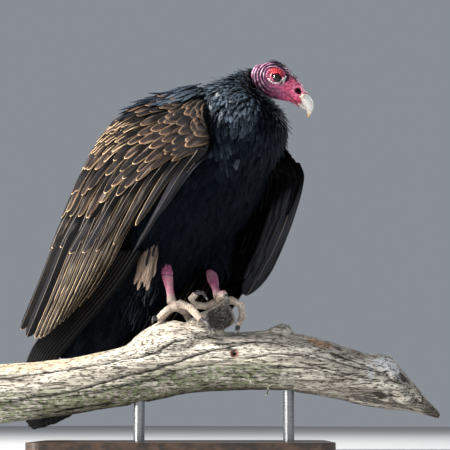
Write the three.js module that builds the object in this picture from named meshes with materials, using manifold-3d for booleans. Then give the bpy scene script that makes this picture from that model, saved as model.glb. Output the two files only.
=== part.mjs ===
// A life-size turkey vulture gripping a short length of dead limb, carried by a plain display stand.
// Millimetres, +Z up, +X the way the trunk faces, +Y the bird's left. The origin is the centre of
// the stand's underside, so Z = 0 is the surface that the stand rests on.
import * as THREE from "three";
import { mergeVertices } from "three/addons/utils/BufferGeometryUtils.js";
import Module from "manifold-3d";

const wasm = await Module();
wasm.setup();

// ---- driving dimensions ----
const gap = 0.4; // clear space between neighbouring solids
const birdShift = 20; // the bird and its limb stand this far forward of the stand's centre
const limbTurn = THREE.MathUtils.degToRad(40); // the limb runs this far to the left of the heading
const headTurn = THREE.MathUtils.degToRad(36); // the head looks this far to the left
const headDip = THREE.MathUtils.degToRad(34); // and the bill points this far down
const headPlace = [120, 18, 479]; // the middle of the head, near the eyes
const leftWingDrop = THREE.MathUtils.degToRad(19.3); // the left wing hangs lower than the right
const leftWingShift = [-18, -10, -10];
const shoulderPivot = [80, 430]; // X and Z of the joint that it hangs from
const eyeRadius = 8;
const eyePlace = [2.8, 12.6, -2.6]; // the left eye's centre, in the head's own frame
const baseLength = 380;
const baseWidth = 240;
const baseThickness = 16;
const baseCorner = 24;
const rodRadius = 7;
const rodSpacing = 190;
const rodDepth = 14; // how far a rod is let into the limb

// ---- materials ----
const finish = (color, roughness, metalness = 0) =>
  new THREE.MeshStandardMaterial({ color, roughness, metalness });
const materials = {
  plumage: finish(0x15161b, 0.75),
  wing: finish(0x33291f, 0.7),
  flight: finish(0x1c1a1a, 0.6),
  skin: finish(0xb8455c, 0.6),
  bill: finish(0xf0e6d2, 0.4),
  eye: finish(0x1a110c, 0.08),
  leg: finish(0xc98a8a, 0.65),
  foot: finish(0xa89a86, 0.7),
  claw: finish(0x3a3634, 0.4),
  wood: finish(0xb9ad98, 0.9),
  base: finish(0x2b2623, 0.5),
  rod: finish(0x8a8c90, 0.35, 1),
};

// ---- helpers ----
const vector = (p) => new THREE.Vector3(p[0], p[1], p[2]);
const curve = (points) =>
  new THREE.CatmullRomCurve3(points.map(vector), false, "catmullrom");

// Moves every vertex of a primitive to the place that the given function returns for it.
function mould(geometry, place) {
  const position = geometry.getAttribute("position");
  for (let i = 0; i < position.count; i++) {
    const p = place(position.getX(i), position.getY(i), position.getZ(i));
    position.setXYZ(i, p.x, p.y, p.z);
  }
  return geometry;
}

// A closed geometry as a manifold solid whose faces point out.
function solidOf(geometry) {
  const bare = geometry.clone();
  bare.deleteAttribute("normal");
  bare.deleteAttribute("uv");
  const merged = mergeVertices(bare, 1e-3);
  const vertProperties = new Float32Array(merged.attributes.position.array);
  const triVerts = new Uint32Array(merged.index.array);
  const corner = (i) => new THREE.Vector3().fromArray(vertProperties, 3 * i);
  let volume = 0;
  for (let i = 0; i < triVerts.length; i += 3) {
    const [a, b, c] = [0, 1, 2].map((k) => corner(triVerts[i + k]));
    volume += a.dot(b.cross(c));
  }
  if (volume < 0)
    for (let i = 0; i < triVerts.length; i += 3)
      [triVerts[i + 1], triVerts[i + 2]] = [triVerts[i + 2], triVerts[i + 1]];
  return new wasm.Manifold(
    new wasm.Mesh({ numProp: 3, vertProperties, triVerts }),
  );
}

// The largest piece of a solid, as a three.js mesh.
function meshOf(name, material, solid) {
  const whole = solid
    .decompose()
    .reduce((a, b) => (a.volume() > b.volume() ? a : b));
  const { numProp, numVert, vertProperties, triVerts } = whole.getMesh();
  const places = new Float32Array(numVert * 3);
  for (let i = 0; i < numVert; i++)
    places.set(vertProperties.subarray(i * numProp, i * numProp + 3), 3 * i);
  const geometry = new THREE.BufferGeometry();
  geometry.setAttribute("position", new THREE.BufferAttribute(places, 3));
  geometry.setIndex(new THREE.BufferAttribute(new Uint32Array(triVerts), 1));
  geometry.computeVertexNormals();
  const mesh = new THREE.Mesh(geometry, material);
  mesh.name = name;
  return mesh;
}

const less = (solid, cutters) => cutters.reduce((s, c) => s.subtract(c), solid);
const joined = (solids) => solids.reduce((a, b) => a.add(b));

// A closed tube through stations [x, y, z, half width, upper height, lower height], front to rear.
// Each section is a superellipse of the given power; grow makes it larger all round.
function loft(stations, { radial, rows, power = 2, grow = 0, place, side }) {
  const spine = curve(stations);
  const sizes = curve(stations.map((s) => s.slice(3)));
  const sideways = side ?? new THREE.Vector3(0, 1, 0);
  const bend = (v) => Math.sign(v) * Math.abs(v) ** (2 / power);
  const tube = new THREE.CylinderGeometry(1, 1, 1, radial, rows);
  return solidOf(
    mould(tube, (x, y, z) => {
      const t = 0.5 - y;
      const tangent = spine.getTangent(t);
      const across = sideways
        .clone()
        .addScaledVector(tangent, -sideways.dot(tangent))
        .normalize();
      const up = across.clone().cross(tangent);
      const size = sizes.getPoint(t);
      const height = z > 0 ? size.y : size.z;
      const rim = Math.hypot(x, z);
      const point = spine
        .getPoint(t)
        .addScaledVector(across, bend(x) * (size.x + grow))
        .addScaledVector(up, bend(z) * (height + grow));
      if (rim < 0.5) point.copy(spine.getPoint(t));
      if (y === 0.5) point.addScaledVector(tangent, -grow);
      if (y === -0.5) point.addScaledVector(tangent, grow);
      return place ? point.applyMatrix4(place) : point;
    }),
  );
}

// A round tube of changing radius through points [x, y, z, radius].
const tube = (points, radial, rows, grow = 0, place = undefined) =>
  loft(
    points.map(([x, y, z, r]) => [x, y, z, r, r, r]),
    { radial, rows, grow, place, side: new THREE.Vector3(0.31, 0.9, 0.3) },
  );

// A ball with its poles up and down.
function ball(centre, radius, segments = 10) {
  const geometry = new THREE.SphereGeometry(radius, segments, segments / 2 + 2);
  return solidOf(geometry.translate(...centre));
}

// ---- head, bill and eyes, in the head's own frame: +X to the bill, +Z up ----
const headMatrix = new THREE.Matrix4()
  .makeTranslation(...headPlace)
  .multiply(new THREE.Matrix4().makeRotationZ(headTurn))
  .multiply(new THREE.Matrix4().makeRotationY(headDip));

// [x, crown, throat, half width]
const headOutline = [
  [48.6, 4.0, -14.8, 6.6],
  [42, 8.6, -15.2, 8.6],
  [33, 12.0, -16.0, 10.2],
  [23, 15.4, -19.4, 12.8],
  [12, 18.8, -23.6, 16.6],
  [2, 20.2, -25.4, 19.6],
  [-7, 19.0, -25.6, 20.8],
  [-15, 15.4, -24.6, 20.6],
  [-22, 9.8, -20.5, 18.4],
  [-27, 2.9, -15.5, 13.0],
  [-29.6, -6, -11, 4.5],
];
const headMiddle = (crown, throat) => crown * 0.35 + throat * 0.65;

function headSolid(grow) {
  const stations = headOutline.map(([x, crown, throat, half]) => {
    const middle = headMiddle(crown, throat);
    return [x, 0, middle, half, crown - middle, middle - throat];
  });
  return loft(stations, {
    radial: 16,
    rows: 13,
    power: 2.2,
    grow,
    place: headMatrix,
  });
}

// The upper bill: a root let into the cere, a level ridge and a hooked tip.
const upperBill = (grow) =>
  loft(
    [
      [40.5, 0, -3.2, 5, 4.6, 4.6],
      [43.5, 0, -3, 8.7, 6, 8.4],
      [47, 0, -2.9, 7.7, 6.8, 8.8],
      [52.5, 0, -4.4, 6.1, 6.6, 7.6],
      [57.5, 0, -8, 4.9, 5.8, 6.2],
      [61, 0, -12.4, 3.4, 4.4, 3.6],
      [63.2, 0, -16.6, 1.9, 2.2, 2.0],
      [63.8, 0, -20.2, 0.5, 0.5, 0.5],
    ],
    { radial: 12, rows: 10, power: 2.1, grow, place: headMatrix },
  );

// The lower bill, whose tip shuts inside the upper hook.
const lowerBill = (grow) =>
  loft(
    [
      [41.5, 0, -12.2, 4.4, 1.6, 1.8],
      [48, 0, -12.7, 4.4, 1.6, 2.0],
      [54, 0, -13.2, 3.4, 1.2, 1.8],
      [57.6, 0, -13.8, 1.4, 0.7, 0.9],
    ],
    { radial: 10, rows: 4, grow, place: headMatrix },
  );

const eyeCentre = (side) =>
  vector([eyePlace[0], side * eyePlace[1], eyePlace[2]])
    .applyMatrix4(headMatrix)
    .toArray();

// The open nostril runs straight through the cere.
function nostril() {
  const hole = new THREE.CylinderGeometry(1, 1, 60, 10);
  hole.scale(4.8, 1, 3.5);
  hole.rotateY(THREE.MathUtils.degToRad(-16));
  hole.translate(36, 0, 0.4);
  return solidOf(hole.applyMatrix4(headMatrix));
}

// ---- neck and trunk ----
const neckSolid = (grow) =>
  loft(
    [
      [110, 11, 476, 15, 14, 15],
      [101, 8.5, 477, 19.5, 20, 21],
      [92, 6, 471, 36, 22, 48],
      [80, 4, 456, 62, 28, 72],
      [62, 2, 434, 78, 42, 82],
      [38, 0, 412, 88, 54, 86],
    ],
    { radial: 16, rows: 8, power: 2.1, grow },
  );

const trunkStations = [
  [52, 0, 434, 68, 28, 68],
  [29, 0, 413, 88, 50, 92],
  [0, 0, 385, 104, 80, 100],
  [-39, 0, 339, 106, 97, 94],
  [-77, 0, 292, 98, 97, 79],
  [-110, 0, 250, 80, 73, 61],
  [-141, 0, 212, 58, 40, 49],
  [-166, 0, 181, 46, 22, 40],
  [-190, 0, 152, 34, 12, 28],
  [-206, 0, 134, 14, 6, 10],
];
const trunkSolid = () =>
  loft(trunkStations, { radial: 16, rows: 10, power: 2.25 });

// ---- wings: a patch through rows of four points, from the back's middle to the leading edge ----
const rightWingRows = [
  [
    [-14, -9, 472],
    [12, -50, 466],
    [76, -84, 436],
    [94, -88, 410],
  ],
  [
    [-82, -9, 450],
    [-64, -60, 446],
    [42, -110, 390],
    [101, -99, 370],
  ],
  [
    [-147, -9, 398],
    [-132, -64, 390],
    [-8, -120, 336],
    [80, -107, 342],
  ],
  [
    [-197, -11, 320],
    [-184, -66, 310],
    [-62, -116, 270],
    [36, -107, 297],
  ],
  [
    [-240, -20, 243],
    [-223, -68, 233],
    [-124, -104, 209],
    [-24, -98, 247],
  ],
  [
    [-284, -34, 168],
    [-273, -62, 162],
    [-194, -86, 150],
    [-100, -84, 206],
  ],
];

// The left wing is the right one mirrored, then swung down about the shoulder. The swing is
// nothing where share is 0 and whole where it is 1.
function swung([x, y, z], share) {
  const [dx, dz] = [x - shoulderPivot[0], z - shoulderPivot[1]];
  const [c, s] = [Math.cos(leftWingDrop * share), Math.sin(leftWingDrop * share)];
  return [
    shoulderPivot[0] + dx * c - dz * s + leftWingShift[0] * share,
    -y + leftWingShift[1] * share,
    shoulderPivot[1] + dz * c + dx * s + leftWingShift[2] * share,
  ];
}
const posed = (side, row, share) =>
  row.map((p, i) => (side < 0 ? p : swung(p, share(i / (row.length - 1)))));

function wingPatch(side) {
  const rows = rightWingRows.map((row) => curve(posed(side, row, (u) => u)));
  const point = (u, v) =>
    curve(rows.map((row) => row.getPoint(u).toArray())).getPoint(v);
  const step = 1e-3;
  const frame = (u, v) => {
    const across = point(Math.min(u + step, 1), v)
      .sub(point(Math.max(u - step, 0), v))
      .normalize();
    const down = point(u, Math.min(v + step, 1))
      .sub(point(u, Math.max(v - step, 0)))
      .normalize();
    const normal = across.clone().cross(down).normalize();
    return { across, down, normal: normal.multiplyScalar(side) };
  };
  return { point, frame };
}

// A curved slab on a wing's patch. rows(u) gives the v of every row down the wing, and
// depth(u, v) gives [outer offset, thickness], both measured inwards.
function wingSlab(patch, { across, along, span, rows, depth, grow = 0 }) {
  const block = new THREE.BoxGeometry(1, 1, 1, across, along, 1);
  return solidOf(
    mould(block, (x, y, z) => {
      const u = THREE.MathUtils.lerp(span[0], span[1], x + 0.5);
      const v = rows(u)[Math.round((y + 0.5) * along)];
      const [outer, thickness] = depth(u, v);
      const inward = z > 0 ? outer - grow : outer + thickness + grow;
      const { across: right, down, normal } = patch.frame(u, v);
      return patch
        .point(u, v)
        .addScaledVector(normal, -inward)
        .addScaledVector(right, grow * Math.trunc(2 * x))
        .addScaledVector(down, grow * Math.trunc(2 * y));
    }),
  );
}
const spread = (from, to, count) =>
  Array.from({ length: count + 1 }, (_, i) => from + ((to - from) * i) / count);

// Rounded feather tips along an edge, from 0 between two feathers to 1 at a tip.
const scallop = (share, count) => Math.abs(Math.sin(Math.PI * count * share));

const covertEnd = (u) => 0.64 - 0.3 * u;
function covertThickness(u, v) {
  const arm = Math.max(0, 1 - v / (covertEnd(u) - 0.1));
  const round = Math.sqrt(1 - 0.96 * u ** 8);
  return 2.6 + 20 * round * Math.sin(Math.min(1, arm * 1.4) * 1.57);
}
const covertSlab = (patch, grow = 0) =>
  wingSlab(patch, {
    across: 10,
    along: 6,
    span: [0, 1],
    rows: (u) => spread(0, covertEnd(u) + 0.018 * scallop(u, 8), 6),
    depth: (u, v) => [0, covertThickness(u, v)],
    grow,
  });

// How far down the wing the secondaries and tertials reach, from the back to the leading edge.
// Beside the leading edge the longest feathers stand clear in a blade of their own.
function secondaryEnd(u) {
  const retreat = THREE.MathUtils.smoothstep(u, 0.8, 0.89);
  return 1 - 0.3 * retreat + 0.16 * THREE.MathUtils.smoothstep(u, 0.89, 0.94);
}
function secondaryRows(u) {
  const end = secondaryEnd(u) - 0.014 * (1 - scallop(u, 7));
  const clear = covertEnd(u) + 0.035;
  return [clear - 0.11, clear, (clear + end) / 2, end];
}
const secondarySlab = (patch, grow = 0) =>
  wingSlab(patch, {
    across: 22,
    along: 3,
    span: [0.015, 1],
    rows: secondaryRows,
    depth: (u, v) => [v < covertEnd(u) + 0.04 ? 5.4 : 0.5, 4.6],
    grow,
  });

// The room that the body leaves for a whole wing, and for everything outside it.
const wingRoom = (patch) =>
  wingSlab(patch, {
    across: 10,
    along: 8,
    span: [0, 1],
    rows: (u) => [...spread(0, covertEnd(u), 6), 0.5 + covertEnd(u) / 2, 1],
    depth: (u, v) => [-8, 8 + Math.max(covertThickness(u, v), 9)],
    grow: 2.6,
  });

// The primaries lie under the secondaries and run on to the tail's tip.
const primaryFront = [
  [0, -90, 258],
  [-50, -84, 215],
  [-118, -74, 172],
  [-192, -62, 128],
  [-254, -48, 84],
  [-282, -40, 50],
];
const primaryRear = [
  [-60, -97, 262],
  [-122, -88, 222],
  [-190, -70, 184],
  [-252, -56, 146],
  [-284, -46, 100],
  [-290, -38, 56],
];
function primarySlab(side, grow = 0) {
  const edges = [primaryRear, primaryFront].map((row) =>
    curve(posed(side, row, (t) => 0.7 * (1 - t))),
  );
  const out = new THREE.Vector3(-0.2, side, 0.25).normalize();
  const block = new THREE.BoxGeometry(1, 1, 1, 3, 8, 1);
  return solidOf(
    mould(block, (x, y, z) => {
      const t = y + 0.5;
      const crown = 6 * (1 - 4 * x * x) * (1 - t);
      const thickness = THREE.MathUtils.lerp(6, 2.4, t) + 2 * grow;
      return edges[0]
        .getPoint(t)
        .lerp(edges[1].getPoint(t), x + 0.5)
        .addScaledVector(out, crown + z * thickness);
    }),
  );
}

// ---- tail ----
const tailRoot = [-118, 0, 232];
const tailTip = [-297, 0, 24];
const tailFeathers = 10;
function tailSolid(grow = 0) {
  const root = vector(tailRoot);
  const line = vector(tailTip).sub(root);
  const across = new THREE.Vector3(0, 1, 0);
  const up = across.clone().cross(line).normalize();
  const block = new THREE.BoxGeometry(1, 1, 1, 20, 3, 1);
  return solidOf(
    mould(block, (x, y, z) => {
      const t = y + 0.5;
      const notch = 0.025 * scallop(x + 0.5, tailFeathers);
      const reach = t * (1 - 0.1 * (2 * x) ** 2 - 0.025 + notch);
      const half = THREE.MathUtils.lerp(24, 44, t ** 0.8) + grow;
      const arch = 10 * (1 - (2 * x) ** 2) * (1 - 0.4 * t);
      const thickness = THREE.MathUtils.lerp(16, 3, Math.min(1, t * 1.5)) / 2;
      return root
        .clone()
        .addScaledVector(line, reach)
        .addScaledVector(across, 2 * x * half)
        .addScaledVector(up, arch + z * 2 * (thickness + grow));
    }),
  );
}

// ---- limb, in its own frame: +X along it, +Y away from the viewer's side, +Z up ----
const limbMatrix = new THREE.Matrix4().makeRotationZ(limbTurn);
const limbStations = [
  [-262, -22, 75, 37, 38, 38],
  [-185, -22, 82, 36, 36, 36],
  [-120, -22, 92, 37, 37, 37],
  [-55, -22, 106, 38, 38, 39],
  [-6, -22, 117, 39, 40, 41],
  [45, -22, 118, 37, 37, 37],
  [98, -22, 119, 38, 38, 39],
  [150, -22, 112, 37, 37, 37],
  [200, -22, 99, 34, 34, 33],
  [238, -22, 88, 31, 31, 31],
  [262, -22, 76, 27, 24, 25],
  [280, -23, 66, 18, 13, 16],
  [312, -26, 48, 4, 4, 3],
];
const limbTrunk = () =>
  loft(limbStations, {
    radial: 14,
    rows: 16,
    power: 2,
    place: limbMatrix,
  });

// A broken side branch between the feet, and the swelling that it grows from.
const stub = () =>
  tube(
    [
      [-18, -26, 136, 24],
      [4, -30, 154, 20],
      [26, -35, 169, 17.5],
      [46, -40, 180, 16.5],
    ],
    10,
    4,
    0,
    limbMatrix,
  );
const swelling = () =>
  tube(
    [
      [-74, -23, 106, 30],
      [-58, -25, 124, 31],
      [-44, -27, 133, 32],
      [-28, -29, 138, 32.5],
      [-8, -32, 138, 28],
      [10, -34, 132, 18],
    ],
    10,
    6,
    0,
    limbMatrix,
  );
const knob = () =>
  tube(
    [
      [104, -24, 138, 26],
      [112, -24, 152, 18],
      [118, -24, 165, 7],
    ],
    8,
    3,
    0,
    limbMatrix,
  );

// ---- legs ----
// The feet's pads are where each tarsus meets its toes, in the limb's frame.
const legs = [
  {
    name: "right",
    thigh: [
      [-34, -42, 330, 40],
      [-33, -43, 296, 37],
      [-31, -43, 264, 27],
      [-31, -41, 240, 18.5],
      [-35, -41, 221, 8],
    ],
    ankle: [-37, -14.5, 236],
    pad: [-28, -35, 187],
    toes: [
      [
        [-28, -35, 186, 5.8],
        [-13, -48, 189, 5.6],
        [0, -56, 178, 4.9],
        [9, -60.5, 168, 4],
      ],
      [
        [-28, -35, 186, 5.6],
        [-35, -38, 181, 5.2],
        [-42, -38, 174.5, 4.8],
        [-47, -37, 170.5, 4],
      ],
      [
        [-28, -35, 186, 5.4],
        [-17, -26, 184, 4.8],
        [-8, -14, 174, 4.2],
        [-5, -4, 158, 3.5],
      ],
      [
        [-28, -34, 185, 5.2],
        [-37, -22, 179, 4.6],
        [-46, -8, 166, 4],
        [-49, 0, 150, 3.4],
      ],
    ],
    claws: [
      [
        [10, -61, 168.5, 3.1],
        [17.5, -64.5, 163, 2.5],
        [22, -63.5, 150.5, 0.5],
      ],
      [
        [-47.4, -37.6, 171, 2.8],
        [-51.5, -41, 172, 2.3],
        [-53, -42, 165, 0.5],
      ],
      [
        [-4.9, -3.6, 157, 2.7],
        [-5, 0.5, 150, 2.1],
        [-6, -1, 143, 0.5],
      ],
      [
        [-49.2, 0.4, 149, 2.7],
        [-50, 3.5, 143, 2.1],
        [-50, 2, 136, 0.5],
      ],
    ],
  },
  {
    name: "left",
    thigh: [
      [-14, 40, 330, 40],
      [-10, 42, 296, 36],
      [-4, 44, 263, 25],
      [-1, 46, 240, 18.5],
      [-1, 47, 221, 8],
    ],
    ankle: [21.5, 26, 233],
    pad: [31, -26, 197],
    toes: [
      [
        [31, -26, 194, 5.6],
        [33, -38, 199, 5.4],
        [36, -50, 202, 5],
        [39, -56, 199, 4.2],
      ],
      [
        [31, -26, 194, 5.6],
        [53, -32, 194, 5.2],
        [62, -37, 180, 4.9],
        [56, -43, 162, 4],
      ],
      [
        [31, -26, 194, 5.6],
        [11, -36, 186, 5.2],
        [-4, -42, 193, 4.9],
        [2, -45, 202.5, 4.2],
      ],
      [
        [31, -25, 193, 5.2],
        [34, -12, 190, 4.6],
        [36, -3, 180, 4],
        [36, -2, 166, 3.4],
      ],
    ],
    claws: [
      [
        [39.4, -56.6, 198.6, 3],
        [42.5, -60.5, 194, 2.4],
        [43, -60, 185, 0.5],
      ],
      [
        [55.4, -43.4, 160.4, 3],
        [54, -45, 154.5, 2.4],
        [50, -43, 149, 0.5],
      ],
      [
        [2.6, -45.2, 203, 3],
        [10.5, -47.5, 203.5, 2.5],
        [17, -48, 194, 0.5],
      ],
      [
        [36, -2, 164.5, 2.7],
        [35, -4, 157, 2.1],
        [33, -8, 151, 0.5],
      ],
    ],
  },
];

const inRow = (p) => vector(p).applyMatrix4(limbMatrix).toArray();
const tarsusRadii = [7.4, 7.2, 5.2, 4.8, 6.2];

function tarsusSolid(leg, grow) {
  const [top, end] = [vector(inRow(leg.ankle)), vector(inRow(leg.pad))];
  const points = tarsusRadii.map((radius, i) => {
    const t = (i / (tarsusRadii.length - 1)) * 0.9;
    return [...top.clone().lerp(end, t).toArray(), radius];
  });
  const above = top.clone().addScaledVector(end.clone().sub(top), -0.12);
  return tube([[...above.toArray(), 6], ...points], 9, 6, grow);
}
const footSolid = (leg, grow = 0) =>
  joined(leg.toes.map((toe) => tube(toe, 7, 4, grow, limbMatrix)));
const clawSolid = (claw, grow = 0) => tube(claw, 6, 4, grow, limbMatrix);
const thighSolid = (leg, grow = 0) => tube(leg.thigh, 12, 6, grow);

// ---- assembly ----
const bird = new THREE.Group();
const add = (name, material, solid) => bird.add(meshOf(name, material, solid));

const eyes = [-1, 1].map((side) => ({
  name: side < 0 ? "right" : "left",
  solid: ball(eyeCentre(side), eyeRadius),
  room: ball(eyeCentre(side), eyeRadius + gap),
}));
eyes.forEach((eye) => add(`eye_${eye.name}`, materials.eye, eye.solid));

const billCuts = [upperBill(gap), lowerBill(gap)];
const upper = upperBill(0);
add("bill_upper", materials.bill, upper);
add("bill_lower", materials.bill, less(lowerBill(0), [upperBill(gap)]));
const head = less(headSolid(0), [
  ...eyes.map((eye) => eye.room),
  ...billCuts,
  nostril(),
]);
add("head", materials.skin, head);

const wingCuts = [];
const covertCuts = [];
for (const side of [-1, 1]) {
  const patch = wingPatch(side);
  const name = side < 0 ? "right" : "left";
  add(`wing_${name}_coverts`, materials.wing, covertSlab(patch));
  const secondaries = secondarySlab(patch);
  add(`wing_${name}_secondaries`, materials.flight, secondaries);
  const primaries = less(primarySlab(side), [
    secondarySlab(patch, gap),
    secondaries,
    covertSlab(patch, gap),
  ]);
  add(`wing_${name}_primaries`, materials.flight, primaries);
  wingCuts.push(wingRoom(patch), primarySlab(side, gap));
  covertCuts.push(covertSlab(patch, gap), covertSlab(patch));
}

const neck = less(neckSolid(0), [
  headSolid(gap),
  ...wingCuts,
  ...covertCuts,
]);
add("neck", materials.plumage, neck);

const legCuts = [];
for (const leg of legs) {
  const claws = leg.claws.map((claw) => clawSolid(claw));
  claws.forEach((claw, i) =>
    add(`claw_${leg.name}_${i + 1}`, materials.claw, claw),
  );
  const foot = less(
    footSolid(leg),
    leg.claws.map((claw) => clawSolid(claw, gap)),
  );
  add(`foot_${leg.name}`, materials.foot, foot);
  const tarsus = less(tarsusSolid(leg, 0), [footSolid(leg, gap)]);
  add(`tarsus_${leg.name}`, materials.leg, tarsus);
  const thigh = less(thighSolid(leg), [tarsusSolid(leg, gap)]);
  add(`thigh_${leg.name}`, materials.plumage, less(thigh, wingCuts));
  legCuts.push(thighSolid(leg, gap), tarsusSolid(leg, gap));
}

const tail = less(tailSolid(), wingCuts);
add("tail", materials.flight, tail);
add(
  "trunk",
  materials.plumage,
  less(trunkSolid(), [
    neckSolid(gap),
    ...wingCuts,
    ...legCuts,
    tailSolid(gap),
  ]),
);

// The limb gives way to the feet, and takes the rods' ends in two blind holes.
const rodPlaces = [-1, 1].map((side) => {
  const x = 25 + (side * rodSpacing) / 2;
  const under = x < 25 ? [-70, 64] : [120, 79];
  return { place: inRow([x, -22, 0]), top: under[1] + rodDepth };
});
const rod = (place, top, radius, bottom) =>
  solidOf(
    new THREE.CylinderGeometry(radius, radius, top - bottom, 16)
      .rotateX(Math.PI / 2)
      .translate(place[0], place[1], (top + bottom) / 2),
  );
const footCuts = legs.flatMap((leg) => [
  footSolid(leg, gap),
  ...leg.claws.map((claw) => clawSolid(claw, gap)),
]);
const rodCuts = rodPlaces.map(({ place, top }) =>
  rod(place, top + gap, rodRadius + gap, 0),
);
add(
  "perch",
  materials.wood,
  less(joined([limbTrunk(), swelling(), stub(), knob()]), [
    ...footCuts,
    ...rodCuts,
  ]),
);
rodPlaces.forEach(({ place, top }, i) =>
  add(
    `stand_rod_${i + 1}`,
    materials.rod,
    rod(place, top, rodRadius, baseThickness + gap),
  ),
);
bird.position.set(birdShift, 0, 0);

// A flat plate with rounded corners, in line with the limb.
function basePlate() {
  const [x, y] = [baseLength / 2, baseWidth / 2];
  const outline = new THREE.Shape()
    .moveTo(-x + baseCorner, -y)
    .lineTo(x - baseCorner, -y)
    .absarc(x - baseCorner, -y + baseCorner, baseCorner, -Math.PI / 2, 0)
    .absarc(x - baseCorner, y - baseCorner, baseCorner, 0, Math.PI / 2)
    .absarc(-x + baseCorner, y - baseCorner, baseCorner, Math.PI / 2, Math.PI)
    .absarc(
      -x + baseCorner,
      -y + baseCorner,
      baseCorner,
      Math.PI,
      1.5 * Math.PI,
    );
  const plate = new THREE.ExtrudeGeometry(outline, {
    depth: baseThickness,
    bevelEnabled: false,
    curveSegments: 4,
  });
  return solidOf(plate.rotateZ(limbTurn));
}

const vulture = new THREE.Group();
vulture.add(bird, meshOf("stand_base", materials.base, basePlate()));

export default vulture;
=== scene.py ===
import math

import bpy
import numpy as np
from mathutils import Matrix, Vector
from mathutils.bvhtree import BVHTree


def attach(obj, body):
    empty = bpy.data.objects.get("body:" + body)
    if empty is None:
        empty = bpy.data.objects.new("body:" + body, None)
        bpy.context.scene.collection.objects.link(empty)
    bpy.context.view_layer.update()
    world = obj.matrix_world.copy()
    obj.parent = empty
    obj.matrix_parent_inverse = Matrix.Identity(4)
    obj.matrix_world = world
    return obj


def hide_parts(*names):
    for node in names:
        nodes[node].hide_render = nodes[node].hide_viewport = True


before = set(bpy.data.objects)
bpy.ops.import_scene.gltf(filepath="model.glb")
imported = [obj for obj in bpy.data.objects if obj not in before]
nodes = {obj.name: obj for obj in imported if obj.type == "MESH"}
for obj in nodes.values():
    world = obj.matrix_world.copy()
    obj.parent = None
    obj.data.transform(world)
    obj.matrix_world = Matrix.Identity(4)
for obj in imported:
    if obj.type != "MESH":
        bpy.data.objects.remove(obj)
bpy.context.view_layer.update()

scene = bpy.context.scene
mm = 0.001
sides = {"right": -1, "left": 1}
fleshNodes = ["head", "neck", "trunk"]
fleshNodes += [f"{part}_{name}" for part in ("thigh", "tarsus", "foot") for name in sides]


# small maths helpers, all on numpy arrays
def ramp(value, low, high):
    # smooth step from 0 at low to 1 at high, either way round
    t = np.clip((value - low) / (high - low), 0, 1)
    return t * t * (3 - 2 * t)


def hill(value, middle, width):
    return np.exp(-(((value - middle) / width) ** 2))


def mix(a, b, share):
    return a + (b - a) * share


def most(*values):
    return np.maximum.reduce(np.broadcast_arrays(*values))


def stacked(*values):
    # the values as the last axis of one array
    return np.stack(np.broadcast_arrays(*values), -1)


def lengthOf(v):
    return np.linalg.norm(v, axis=-1)


def unit(v):
    return v / np.maximum(lengthOf(v)[..., None], 1e-12)


def grainNoise(places, size, seed=0):
    # smooth noise from -1 to 1 whose lumps are about size across
    q = places / size + 37.7 * (seed + 1)
    cell = np.floor(q).astype(np.int64)
    f = q - cell
    f = f * f * (3 - 2 * f)
    total = np.zeros(len(places))
    for dx, dy, dz in np.ndindex(2, 2, 2):
        h = (cell[:, 0] + dx) * 374761393 + (cell[:, 1] + dy) * 668265263
        h = h + (cell[:, 2] + dz) * 1440662683 + seed * 1274126177
        h = ((h ^ (h >> 13)) * 1103515245) & 0x7FFFFFFF
        h = (h ^ (h >> 16)) & 0xFFFF
        weight = np.abs((1 - dx - f[:, 0]) * (1 - dy - f[:, 1]) * (1 - dz - f[:, 2]))
        total += weight * (h / 32767.5 - 1)
    return total


def roughNoise(places, size, octaves=3, seed=0):
    return sum(grainNoise(places, size / 2**k, seed + k) / 2**k for k in range(octaves)) / 1.75


def spline(points, t):
    # Catmull-Rom through points[0], points[1]..., run on straight past both ends
    points = np.asarray(points, float)
    padded = np.concatenate([2 * points[:1] - points[1:2], points, 2 * points[-1:] - points[-2:-1]])
    inside = np.clip(t, 0, 1)
    place = inside * (len(points) - 1)
    k = np.minimum(place.astype(int), len(points) - 2)
    w = (place - k)[..., None]
    each = () if points.ndim == 2 else (np.arange(len(k)),)
    a, b, c, d = (padded[(k + i, *each)] for i in range(4))
    value = b + 0.5 * w * (c - a + w * (2 * a - 5 * b + 4 * c - d + w * (3 * (b - c) + d - a)))
    slope = 0.5 * (c - a + w * (2 * (2 * a - 5 * b + 4 * c - d) + 3 * w * (3 * (b - c) + d - a)))
    return value + slope * (len(points) - 1) * (t - inside)[..., None]


def shade(code):
    # a linear colour from a web code
    parts = [int(code[k : k + 2], 16) / 255 for k in (0, 2, 4)]
    return np.array([c / 12.92 if c < 0.04045 else ((c + 0.055) / 1.055) ** 2.4 for c in parts])


def paint(colour, code, share):
    # the web code's colour laid over an array of colours
    return mix(colour, shade(code), np.clip(share, 0, 1)[:, None])


# camera, lights and floor
cameraView = {
    "aim": (0.0610, 0.0119, 0.2943),
    "distance": 1.8,
    "azimuth": 40,
    "elevation": -8,
    "lens": 110.8,
}
# place, size, watts and colour of each lamp; all of them face the bird
studioLights = {
    "key": [(-0.85, -1.5, 2.0), 0.3, 168, (1.0, 0.965, 0.91)],
    "low": [(-0.9, -2.0, 0.4), 0.5, 32, (1.0, 0.97, 0.94)],
    "fill": [(1.9, -0.9, 0.7), 1.8, 4, (0.82, 0.9, 1.0)],
    "rim": [(0.3, 1.7, 1.6), 1.0, 16, (0.95, 0.97, 1.0)],
}
backdrop = {"colour": (0.78, 0.85, 0.94), "strength": 0.32, "floorSize": 6.0}


def aimed(name, data, place, line):
    # a camera or lamp at a place, looking along the line
    made = bpy.data.objects.new(name, data)
    made.location = place
    made.rotation_mode = "QUATERNION"
    made.rotation_quaternion = line.to_track_quat("-Z", "Y")
    scene.collection.objects.link(made)
    return made


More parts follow.
